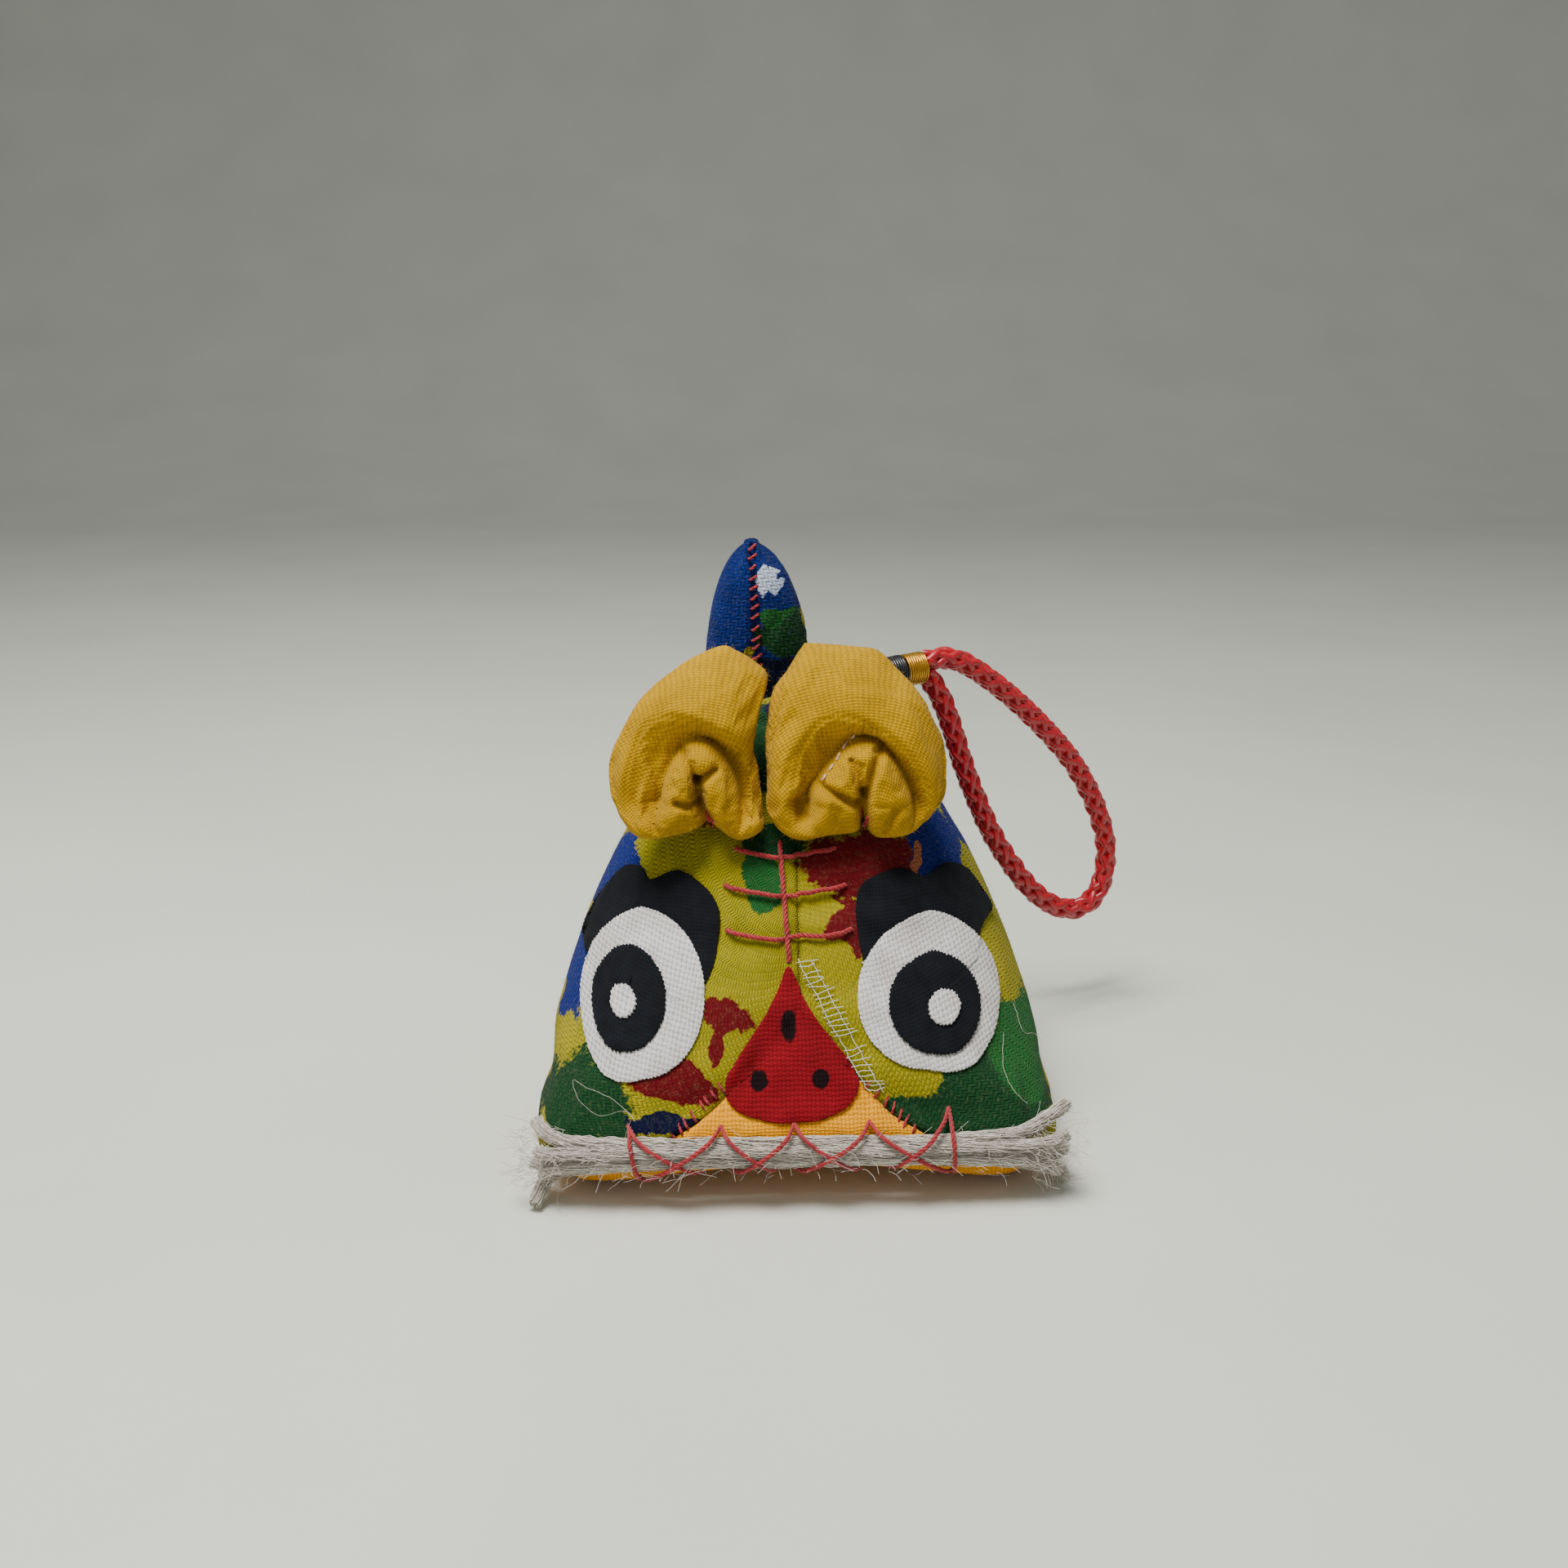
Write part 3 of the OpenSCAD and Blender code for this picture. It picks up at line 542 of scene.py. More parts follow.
for r in range(len(rows) - 1):
    for i in range(TURNS):
        j = (i + 1) % TURNS
        faces.append((r * TURNS + i, r * TURNS + j, (r + 1) * TURNS + j, (r + 1) * TURNS + i))
        low = r < seam_row
        regions.append(0 if low else (1 if i < TURNS // 2 else 2))
        for row, col in ((r, i), (r, i + 1), (r + 1, i + 1), (r + 1, i)):
            if not low:
                middle = TURNS // 4 if i < TURNS // 2 else 3 * TURNS // 4
                corner_uv.append((lengths[row][col] - lengths[row][middle], climb[row]))
            else:
                x, y, z = points[row * TURNS + col % TURNS]
                corner_uv.append((x, 1.77 * z - y))
middle_point = len(points)
points.append((0, 0, 0))
held.append(1.0)
for i in range(TURNS):
    faces.append((i, (i + 1) % TURNS, middle_point))
    regions.append(0)
    for k in (i, (i + 1) % TURNS, middle_point):
        corner_uv.append((points[k][0], points[k][2] - points[k][1]))
top = (len(rows) - 1) * TURNS
for i in range(TURNS // 2):
    a, b, c, d = top + i, top + i + 1, top + (TURNS - i - 1) % TURNS, top + (TURNS - i) % TURNS
    ring = tuple(dict.fromkeys((a, b, c, d)))
    if len(ring) > 2:
        faces.append(ring)
        regions.append(1)
        corner_uv += [(points[k][1], climb[-1] + points[k][0]) for k in ring]
body = mesh_piece("body", points, faces, None, corner_uv)
# One blank finish for each panel keeps them apart until they are cut
panel_marks = [bpy.data.materials.new("panel_mark_%d" % k) for k in range(3)]
for mark in panel_marks:
    body.data.materials.append(mark)
body.data.polygons.foreach_set("material_index", regions)
puff(body, held, 0.035, 3.0, 0.8)
finer = body.modifiers.new("finer", "SUBSURF")
finer.levels = finer.render_levels = 1
body = plain_mesh(body)

# Seam valleys, and the small puckers that the stitches draw in beside them
shape = body.data
spots = np.empty(len(shape.vertices) * 3)
shape.vertices.foreach_get("co", spots)
spots = spots.reshape(-1, 3) / MM
outward = np.empty(len(shape.vertices) * 3)
shape.vertices.foreach_get("normal", outward)
outward = outward.reshape(-1, 3)
for k, (x, y, z) in enumerate(spots):
    if z < 0.05 and abs(outward[k][2]) > 0.9:
        continue
    flat_z = z - lip_rise(x, y, max(0, z - lip_rise(x, y, z)))
    turn = math.asin(max(-1, min(1, (x - lean(z)) / max(0.5, half_width(z)))))
    edge = seam_height(turn) if y < widest(z) else SEAM
    to_base = abs(flat_z - edge) * (0.75 if edge > SEAM + 0.1 else 1)
    to_middle = abs(x - lean(z)) if z > edge else 9
    near = min(to_base, to_middle)
    runs_on = x if to_base < to_middle else z
    depth = 0.3 * math.exp(-(near / 0.45) ** 2)
    depth += 0.13 * math.exp(-(near / 2.0) ** 2) * (1 + math.sin(2 * math.pi * runs_on / 2.3
                                                                + 1.3 * math.sin(runs_on)))
    depth += 0.16 * (noise.noise(Vector((x, y, z)) / 5.0) + 0.5)
    spots[k] -= outward[k] * depth
spots[:, 2] = np.maximum(spots[:, 2], 0)
shape.vertices.foreach_set("co", (spots * MM).ravel())
shape.update()
laid_over = [BVHTree.FromPolygons([tuple(p) for p in spots],
                                  [tuple(f.vertices) for f in shape.polygons])]


def hit_cloth(x, z):
    """Front of whatever is already in place, straight behind a spot seen from the front."""
    best = None
    for surface in laid_over:
        spot, normal, _, _ = surface.ray_cast(Vector((x, -90, z)), Vector((0, 1, 0)))
        if spot is not None and (best is None or spot.y < best[0].y):
            best = (spot, normal if normal.y < 0 else -normal)
    return best


def on_cloth(x, z, lift=0.0, ease=0.0):
    """Point on the cloth at a spot seen from the front, lifted off it; ease bridges steps."""
    found = hit_cloth(x, z)
    while found is None:
        x -= math.copysign(0.15, x)
        found = hit_cloth(x, z)
    spot, normal = found
    y = spot.y
    if ease:
        around = [hit_cloth(x + ease * math.cos(a), z + ease * math.sin(a))
                  for a in (0, 0.8, 1.6, 2.4, 3.1, 3.9, 4.7, 5.5)]
        around = [q[0].y for q in around if q and abs(q[0].y - y) < 2.5]
        if around:
            y = min(y, sum(around) / len(around))
    return np.array((spot.x, y, spot.z)) + lift * np.array(normal)


def weave(tree, place, pitch, twill=False):
    """Height of a woven cloth: each thread is round and dips under its neighbours in turn."""
    parts = put(tree, "SeparateXYZ", {0: place}).node.outputs
    waves = [put(tree, "Math", {0: put(tree, "Math", {0: parts[k], 1: math.pi / pitch},
                                       operation="MULTIPLY")}, operation="COSINE") for k in (0, 1)]
    if twill:
        both = put(tree, "Math", {0: parts[0], 1: parts[1]}, operation="ADD")
        over = put(tree, "Math", {0: put(tree, "Math", {0: both, 1: math.pi / (1.5 * pitch)},
                                         operation="MULTIPLY")}, operation="COSINE")
    else:
        over = put(tree, "Math", {0: waves[0], 1: waves[1]}, operation="MULTIPLY")
    heights = []
    for wave, way in ((waves[0], 0.5), (waves[1], -0.5)):
        size = put(tree, "Math", {0: wave}, operation="ABSOLUTE")
        gain = put(tree, "Math", {0: over, 1: way, 2: 0.5}, operation="MULTIPLY_ADD")
        heights.append(put(tree, "Math", {0: size, 1: gain}, operation="MULTIPLY"))
    return put(tree, "Math", {0: heights[0], 1: heights[1]}, operation="MAXIMUM")


def cloth_finish(name, paint, pitch, twill=False, sheen=0.03, shade=0.55, relief=0.12):
    """Cotton: matt, with painted shade in the gaps between raised threads, painted light on their
    tops and a haze of loose fibres.
    paint gives the colour; pitch is the thread spacing in millimetres."""
    material, tree, shader = finish_material(
        name, Roughness=0.88, Sheen_Weight=sheen, Sheen_Roughness=0.55, Specular_IOR_Level=0.08)
    place = put(tree, "UVMap", uv_map="cloth")
    wobble = put(tree, "TexNoise", {"Vector": place, "Scale": 0.35, "Detail": 2.0}, out="Color")
    wobble = put(tree, "VectorMath", {0: wobble, "Scale": 0.5}, operation="SCALE")
    place = put(tree, "VectorMath", {0: place, 1: wobble}, operation="ADD")
    height = weave(tree, place, pitch, twill)
    slub = put(tree, "TexNoise", {"Vector": place, "Scale": 0.9 / pitch, "Detail": 3.0})
    height = put(tree, "Math", {0: slub, 1: 0.45, 2: height}, operation="MULTIPLY_ADD")
    tone = paint(tree)
    # Painted light and shade: the colour is darkened in the gaps between threads and lightened on
    # their raised tops
    painted_weave_light_and_shade = put(tree, "MapRange", {"Value": height, 1: 0.25, 2: 0.85, 3: 1 - shade, 4: 1.12})
    tinted = put(tree, "VectorMath", {0: tone, "Scale": painted_weave_light_and_shade}, operation="SCALE")
    tree.links.new(tinted, shader.inputs["Base Color"])
    tree.links.new(put(tree, "Bump", {"Height": height, "Strength": 0.8,
                                      "Distance": relief * MM}), shader.inputs["Normal"])
    return material


# Brush strokes of the print: middle and half sizes in millimetres, tilt in degrees and colour
LIME, YELLOW, GREEN, DEEP = "#7f7a12", "#958a12", "#1a5524", "#10381c"
ROYAL, NAVY, CRIMSON, ICE = "#081c66", "#0a102e", "#600b12", "#c9d2e6"
strokes = [
    ((-20.8, -2, 29), (2.6, 9, 5.5), 15, ROYAL), ((-25.2, -8, 20), (1.9, 9, 7.5), 8, ROYAL),
    ((-26.4, -14, 14.2), (1.3, 3.5, 2.6), 10, YELLOW),
    ((-23.6, -20, 9.2), (7.4, 9, 4.8), -12, DEEP),
    ((-20.5, -23, 7), (6.5, 6, 3.4), 0, DEEP), ((-28.2, -22, 6.2), (1.2, 6, 2.6), 0, YELLOW),
    ((-24.8, -25, 5.6), (1, 2, 0.7), 0, CRIMSON), ((-3.6, -11.5, 31), (2.7, 5, 3.6), 0, GREEN),
    ((-2.2, -8, 34.4), (4, 4, 1.9), 0, DEEP), ((-7.6, -20, 18), (3.6, 5, 1.7), -8, CRIMSON),
    ((-12.6, -24, 12.6), (4.9, 5, 2.4), 14, CRIMSON),
    ((-8.4, -22, 16.2), (0.9, 3, 2.6), 20, CRIMSON),
    ((-9.6, -22, 14.9), (1.6, 3, 0.9), 15, YELLOW), ((-13.6, -27, 8.6), (5.4, 4, 1.1), 6, NAVY),
    ((7.6, -8, 31.6), (7, 7, 3.9), 5, CRIMSON), ((5.6, -14.4, 25.9), (2.3, 4, 3.6), -12, CRIMSON),
    ((1.8, -13, 28.1), (3.1, 4, 1.2), 5, YELLOW), ((3.4, -17, 22.4), (3.2, 4, 3), 0, YELLOW),
    ((17, -3.6, 32), (4.6, 7, 4.2), -30, ROYAL), ((14.2, -6.2, 31.4), (0.8, 4, 2), 30, "#9a5a3c"),
    ((20, -20, 9.2), (11.8, 12, 4.9), -14, DEEP), ((25.4, -14, 12.4), (5.6, 12, 5.2), -10, GREEN),
    ((14, -24, 8.2), (6.5, 6, 3.4), 0, DEEP), ((28.8, -19, 4.6), (2.3, 4, 1.8), 0, ICE),
    ((22.6, -10, 20.8), (2.4, 6, 3), 0, YELLOW), ((-3, 4, 42), (4, 9, 7), 0, DEEP),
    ((0, 6, 47), (3, 9, 3), 0, NAVY), ((-21, -16, 11), (2, 4, 1.2), 30, GREEN)]
draw = random.Random(7)
for k in range(34):
    turn = math.radians(draw.choice((-1, 1)) * draw.uniform(98, 178))
    spot = skin(draw.uniform(6, 44), turn)
    strokes.append((spot, (draw.uniform(3.5, 9), draw.uniform(3.5, 9), draw.uniform(2.2, 7)),
                    draw.uniform(-50, 50),
                    draw.choice((GREEN, DEEP, ROYAL, CRIMSON, YELLOW, ROYAL, CRIMSON, NAVY))))


def brushed(tree, ground, other, marks):
    """Brush marks over a ground; their edges break up over the raised threads. The marks
    wander over about 5 mm, bend over 4 mm and break up over 0.5 mm."""
    spot = put(tree, "TexCoord", out="Object")
    drift = put(tree, "TexNoise", {"Vector": spot, "Scale": 190.0, "Detail": 2.0}, out="Color")
    drift = put(tree, "VectorMath", {0: drift, 1: (0.5, 0.5, 0.5)}, operation="SUBTRACT")
    drift = put(tree, "VectorMath", {0: drift, "Scale": 5 * MM}, operation="SCALE")
    bent = put(tree, "TexNoise", {"Vector": spot, "Scale": 260.0, "Detail": 3.0})
    grain = put(tree, "TexNoise", {"Vector": spot, "Scale": 2100.0, "Detail": 2.0})
    ragged = put(tree, "Math", {0: grain, 1: 1.3, 2: bent}, operation="MULTIPLY_ADD")
    ragged = put(tree, "Math", {0: ragged, 1: 1.15}, operation="SUBTRACT")
    spot = put(tree, "VectorMath", {0: spot, 1: drift}, operation="ADD")
    tone = speckled(tree, ground, other, 3.0)
    for middle, size, tilt, ink in marks:
        local = put(tree, "Mapping", {"Vector": spot, "Location": [c * MM for c in middle],
                                      "Rotation": (0, math.radians(tilt), 0),
                                      "Scale": [c * MM for c in size]}, vector_type="TEXTURE")
        away = put(tree, "VectorMath", {0: local}, out="Value", operation="LENGTH")
        away = put(tree, "Math", {0: ragged, 1: 0.3, 2: away}, operation="MULTIPLY_ADD")
        cover = put(tree, "MapRange", {"Value": away, 1: 1.04, 2: 0.96})
        tone = put(tree, "Mix", {0: cover, 6: tone, 7: colour(ink)}, out=2, data_type="RGBA")
    bare = put(tree, "MapRange", {"Value": grain, 1: 0.5, 2: 0.85, 4: 0.05})
    return put(tree, "Mix", {0: bare, 6: tone, 7: colour("#d8d2a0")}, out=2, data_type="RGBA")


# Cotton twill, brush-printed: real threads lie about 0.3 mm apart; drawn at 0.5 mm so that the
# diagonal rows show.
printed_twill = cloth_finish("printed_cotton_twill",
                             lambda tree: brushed(tree, LIME, YELLOW, strokes), 0.5, True)
# Plain-woven cotton, piece-dyed amber, drawn at 0.45 mm.
amber_cotton = cloth_finish("amber_cotton_plain_weave", lambda tree: speckled(
    tree, "#f0a404", "#dc8e02", 4.0), 0.45)


def cut_out(whole, region, name, material, wall=0.5):
    """One panel of the body, as cloth with its own thickness."""
    panel = bpy.data.objects.new(name, whole.data.copy())
    scene.collection.objects.link(panel)
    work = bmesh.new()
    work.from_mesh(panel.data)
    bmesh.ops.delete(work, geom=[f for f in work.faces if f.material_index != region],
                     context="FACES")
    for face in work.faces:
        face.material_index = 0
    work.to_mesh(panel.data)
    work.free()
    panel.data.materials.clear()
    panel.data.materials.append(material)
    thick = panel.modifiers.new("cloth", "SOLIDIFY")
    thick.thickness = wall * MM
    thick.offset = -1
    return plain_mesh(panel)


base = cut_out(body, 0, "base_cloth", amber_cotton)
side_left = cut_out(body, 1, "side_cloth_left", printed_twill)
side_right = cut_out(body, 2, "side_cloth_right", printed_twill)
bpy.data.objects.remove(body)
for mark in panel_marks:
    bpy.data.materials.remove(mark)
for piece, nodes, slot in (
        (base, ["base_panel"], "amber_cotton"),
        (side_left, ["body_panel_left", "body_stuffing"], "printed_cotton_twill"),
        (side_right, ["body_panel_right"], "printed_cotton_twill")):
    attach(piece, "charm")
    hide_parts(*nodes)

# ---- Tail ------------------------------------------------------------------------
# A blunt cone of the same printed cotton, cut from the blue part of the print, stuffed and sewn
# upright on the back of the ridge; its front seam is overcast with red thread.

TAIL_X, TAIL_Y, TAIL_TOP = -3.4, 20, 66.4
tail_turns, tail_rows = 96, 44


def tail_narrows(t):
    """Share of its full width that the tail has at a share of its height."""
    return math.sqrt(max(0, 1 - t ** 2.5)) * (0.75 + 0.25 * math.sin(
        math.pi / 2 * min(1, t / 0.4)))


points, held, corner_uv, faces = [], [], [], []
for r in range(tail_rows + 1):
    t = math.sin(math.pi / 2 * r / tail_rows)
    narrow = tail_narrows(t)
    for i in range(tail_turns):
        a = 2 * math.pi * i / tail_turns - math.pi
        wide, deep = max(0.25, 7.4 * narrow), max(0.2, 4.2 * narrow)
        x, y = TAIL_X - 0.8 * t + wide * math.sin(a), TAIL_Y - deep * math.cos(a)
        foot_x, foot_y = TAIL_X + 5.5 * math.sin(a), TAIL_Y - 3.1 * math.cos(a)
        found = laid_over[0].ray_cast(Vector((foot_x, foot_y, 90)), Vector((0, 0, -1)))[0]
        root = (found.z if found else 40) - 0.3
        seam_dip = 0.32 * math.exp(-(wide * math.sin(a) / 0.5) ** 2) if t < 0.97 else 0
        y += math.copysign(seam_dip, math.cos(a))
        points.append((x, y, root + (TAIL_TOP - root) * t))
        held.append(1.0 if r in (0, tail_rows) or abs(math.sin(a)) < 0.03 else 0.0)
for r in range(tail_rows):
    for i in range(tail_turns):
        j = (i + 1) % tail_turns
        a, b = r * tail_turns, (r + 1) * tail_turns
        faces.append((a + i, a + j, b + j, b + i))
        for k, c in ((a + i, i), (a + j, i + 1), (b + j, i + 1), (b + i, i)):
            corner_uv.append((abs(c - tail_turns / 2) * 0.38, points[k][2]))
for ring in (range(tail_turns), range(tail_rows * tail_turns, (tail_rows + 1) * tail_turns)):
    faces.append(tuple(ring))
    corner_uv += [(points[k][0], points[k][1]) for k in ring]
tail_strokes = [
    ((-2.7, 15, 61.6), (1.1, 4, 2.6), 0, "#b9c2d6"), ((-1.6, 15, 62.8), (1, 4, 0.8), 0, "#b9c2d6"),
    ((-1.2, 15, 60.4), (1.1, 4, 1), 0, "#aab6cf"), ((0.6, 18, 54.4), (4.4, 7, 3.5), 0, DEEP),
    ((-0.8, 18, 57.4), (2.2, 7, 0.9), -8, GREEN), ((3.6, 18, 55.8), (0.7, 7, 2.6), 0, YELLOW),
    ((-2, 17, 49), (8, 8, 2.2), 0, NAVY), ((-4.7, 17, 52.6), (0.8, 4, 0.9), 0, YELLOW),
    ((-8, 24, 55), (4, 4, 5), 10, NAVY), ((1, 24, 52), (4, 3.4, 3), -20, GREEN)]
tail_cotton = cloth_finish("printed_cotton_twill_blue", lambda tree: brushed(
    tree, "#061a52", "#0a246c", tail_strokes), 0.5, True)
tail = mesh_piece("tail_cloth", points, faces, tail_cotton, corner_uv)
puff(tail, held, 0.03, 3.0, 0.5)
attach(tail, "charm")
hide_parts("tail_panel_left", "tail_panel_right", "tail_stuffing")

# Cotton sewing thread, three plies, matt and slightly hairy
red_thread = thread_finish("red_cotton_thread", "#b21a26", "#7d1019", 0.65, sheen=0.3, grain=0.6)


def sewn(name, lines, node, material=red_thread, thick=0.26, seed=1):
    """Plied sewing thread along lines, on the charm."""
    piece = threads(name, lines, material, thick, plies=3, lay=thick * 0.5, twist=0.55,
                    wander=0.07, wander_length=0.8, seed=seed)
    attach(piece, "charm")
    if node:
        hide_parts(*([node] if isinstance(node, str) else node))
    return piece


def tail_front(t, x_off):
    """Place on the front of the tail beside its seam."""
    narrow = tail_narrows(t)
    return np.array((TAIL_X - 0.8 * t + x_off, TAIL_Y - 4.2 * narrow - 0.35,
                     45.2 + (TAIL_TOP - 45.2) * t))


draw = random.Random(3)
lines = []
for k in range(13):
    t = 0.24 + 0.7 * k / 12 + draw.uniform(-0.008, 0.008)
    reach = draw.uniform(0.45, 0.75)
    lines.append(smooth_line([
        tail_front(t, -reach) + (0, 0.7, 0), tail_front(t + 0.005, -reach / 2),
        tail_front(t + 0.022, reach / 2), tail_front(t + 0.03, reach) + (0, 0.7, 0)], 5))
sewn("tail_overcast_stitches", lines, "tail_seam_stitches", thick=0.2)

# ---- Ears ------------------------------------------------------------------------
# Each ear is a square of mustard cotton gathered into a puff: a full rolled rim, a hollow in
# front of it, and a soft bud folded into the hollow. Red thread draws its foot together.


def line_distance(x, z, line):
    """Distance in the face plane from points to a broken line."""
    best = np.full(x.shape, 99.0)
    for (ax, az), (bx, bz) in zip(line, line[1:]):
        dx, dz = bx - ax, bz - az
        t = np.clip(((x - ax) * dx + (z - az) * dz) / (dx * dx + dz * dz), 0, 1)
        best = np.minimum(best, np.hypot(x - ax - t * dx, z - az - t * dz))
    return best


def inside_outline(x, z, outline):
    """Distance in the face plane past a rounded outline; negative inside it."""
    ring = [(p[0], p[2]) for p in smooth_line([(a, 0, b) for a, b in outline], 6, closed=True)]
    ring.append(ring[0])
    within = np.zeros(x.shape, bool)
    for (ax, az), (bx, bz) in zip(ring, ring[1:]):
        within ^= ((az > z) != (bz > z)) & (x < ax + (z - az) / (bz - az or 1) * (bx - ax))
    away = line_distance(x, z, ring)
    return np.where(within, -away, away)


def ear(name, outline, middle, hollow, bud, creases, seed, nodes):
    """Gathered puff: its outline, the outlines of the hollow and of the bud in it, its creases."""
    steps, rings, full = 200, 52, 5.3
    edge = np.array(smooth_line([(x, 0, z) for x, z in outline], 8, closed=True))
    turn = np.arctan2(edge[:, 2] - middle[1], edge[:, 0] - middle[0])
    order = np.argsort(turn)
    reach = np.hypot(edge[:, 0] - middle[0], edge[:, 2] - middle[1])[order]
    at = np.linspace(-math.pi, math.pi, steps, endpoint=False)
    reach = np.interp(at, turn[order], reach, period=2 * math.pi)
    foot = min(z for _, z in outline)
    points, held = [], []
    for face_side in (1, 0):
        for k in range(1, rings + 1):
            if not face_side and k == rings:
                continue
            s = math.sin(math.pi / 2 * k / rings)
            x = middle[0] + s * reach * np.cos(at)
            z = middle[1] + s * reach * np.sin(at)
            round_ = max(0, 1 - s ** 2.3) ** 0.5
            slant = -9.3 + 7.5 * (z - 34.5) / 21.5
            if face_side:
                depth = full * round_ * np.ones(steps)
                past_rim = inside_outline(x, z, hollow)
                past_bud = inside_outline(x, z, bud)
                open_ = np.clip((z - foot - 0.8) / 3.5, 0, 1)
                sunk = np.clip(-past_rim / (np.maximum(past_bud, 0) - past_rim + 1e-6), 0, 1)
                soft_rim = np.exp(-(np.maximum(past_rim, 0) / 0.8) ** 2) * 0.25
                depth -= open_ * 4.4 * np.where(past_rim < 0, 0.25 + 0.75 * sunk ** 0.8, soft_rim)
                full_bud = 1 - np.clip(1 + past_bud / 2.4, 0, 1) ** 2
                depth += np.where(past_bud < 0, 3.7 * np.sqrt(full_bud), 0) * open_
                pinned = (np.abs(past_bud) < 0.35) & (open_ > 0.5)
                for line, deep, wide in creases:
                    away = line_distance(x, z, line)
                    depth -= deep * np.exp(-(away / wide) ** 2)
                    pinned |= away < wide * 0.5
                y = slant - depth
            else:
                y = slant + 4.4 * round_
                pinned = np.zeros(steps, bool)
            for i in range(steps):
                rough = 0.22 * noise.noise(Vector((x[i], y[i], z[i] + seed)) / 2.6) * round_
                yy = y[i] + rough
                if not face_side or k > rings - 6:
                    found = hit_cloth(x[i], z[i])
                    if found:
                        yy = min(yy, found[0].y - 0.05)
                points.append((x[i], yy, z[i]))
                held.append(1.0 if pinned[i] or z[i] < foot + 1.0 or
                            (not face_side and z[i] < 45) else 0.0)
    faces, front, back = [], 0, rings * steps
    for i in range(steps):
        j = (i + 1) % steps
        for k in range(rings - 1):
            a, b = front + k * steps, front + (k + 1) * steps
            faces.append((a + i, a + j, b + j, b + i))
        for k in range(rings - 2):
            a, b = back + k * steps, back + (k + 1) * steps
            faces.append((a + i, b + i, b + j, a + j))
        a, b = back + (rings - 2) * steps, (rings - 1) * steps
        faces.append((a + i, b + i, b + j, a + j))
    faces.append(tuple(range(steps)))
    faces.append(tuple(range(back + steps - 1, back - 1, -1)))
    base_spot = (middle[0], foot - 3)
    corner_uv = []
    for ring in faces:
        for k in ring:
            x, y, z = points[k]
            dx, dz = x - base_spot[0], z - base_spot[1]
            corner_uv.append((math.atan2(dx, dz) * 13, math.hypot(dx, dz) + 0.7 * y))
    piece = mesh_piece(name, points, faces, mustard_cotton, corner_uv)
    puff(piece, held, 0.03, 2.0, 0.45)
    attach(piece, "charm")
    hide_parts(*nodes)
    shape = piece.data
    laid_over.append(BVHTree.FromPolygons([tuple(v.co / MM) for v in shape.vertices],
                                          [tuple(f.vertices) for f in shape.polygons]))


# Plain-woven cotton, soft and matt, with a fine nap; real threads lie about 0.3 mm
# apart; drawn at 0.42 mm so that they show.
mustard_cotton = cloth_finish("mustard_cotton_plain_weave", lambda tree: speckled(
    tree, "#b88c04", "#a07803", 3.5), 0.42, sheen=0.05, shade=0.4, relief=0.1)
ear("ear_left",
    [(-8.7, 56.3), (-13.9, 53.8), (-17.4, 50.7), (-19.3, 47.1), (-20.7, 43.8), (-20.9, 41.6),
     (-20.1, 38.9), (-18.6, 36.2), (-16.6, 35.4), (-13.4, 35.8), (-9.4, 36.6), (-6.8, 35.3),
     (-4.9, 35.4), (-3.5, 36.4), (-3.4, 38.2), (-4, 42.7), (-4.5, 45.8), (-3.9, 49.6),
     (-3, 52.9), (-4.2, 54.4), (-6.6, 55.8)],
    (-11.9, 44.5),
    [(-15.8, 48.2), (-12.3, 48.6), (-8.3, 46.9), (-5.4, 44), (-4.6, 40), (-5.4, 36.8), (-8, 34),
     (-14, 34), (-17, 37), (-18.7, 40.5), (-18, 45)],
    [(-15.8, 36.5), (-15.1, 40.2), (-14.1, 43.5), (-11.9, 46.2), (-9.4, 46.3), (-7.4, 44.3),
     (-6.2, 41.4), (-5.9, 38.9), (-6.3, 36.5), (-8, 34), (-14, 34)],
    [([(-12.4, 45.1), (-11.9, 43.8), (-10.9, 42.2)], 1.5, 0.5),
     ([(-8.9, 43.5), (-9.9, 43), (-10.9, 42.2)], 1.5, 0.45),
     ([(-10.9, 42.2), (-10.8, 39.8), (-9.9, 37.6), (-9.5, 35.6)], 2.4, 0.65),
     ([(-13.2, 39.9), (-12, 39.7), (-10.8, 39.6)], 1.3, 0.45),
     ([(-10.6, 40.8), (-10.2, 38.8), (-8.3, 36.7), (-7, 36)], 1.2, 0.45),
     ([(-16.8, 38.6), (-15.6, 36.6)], 0.6, 0.5)],
    3, ["ear_cover_left", "ear_stuffing_left"])
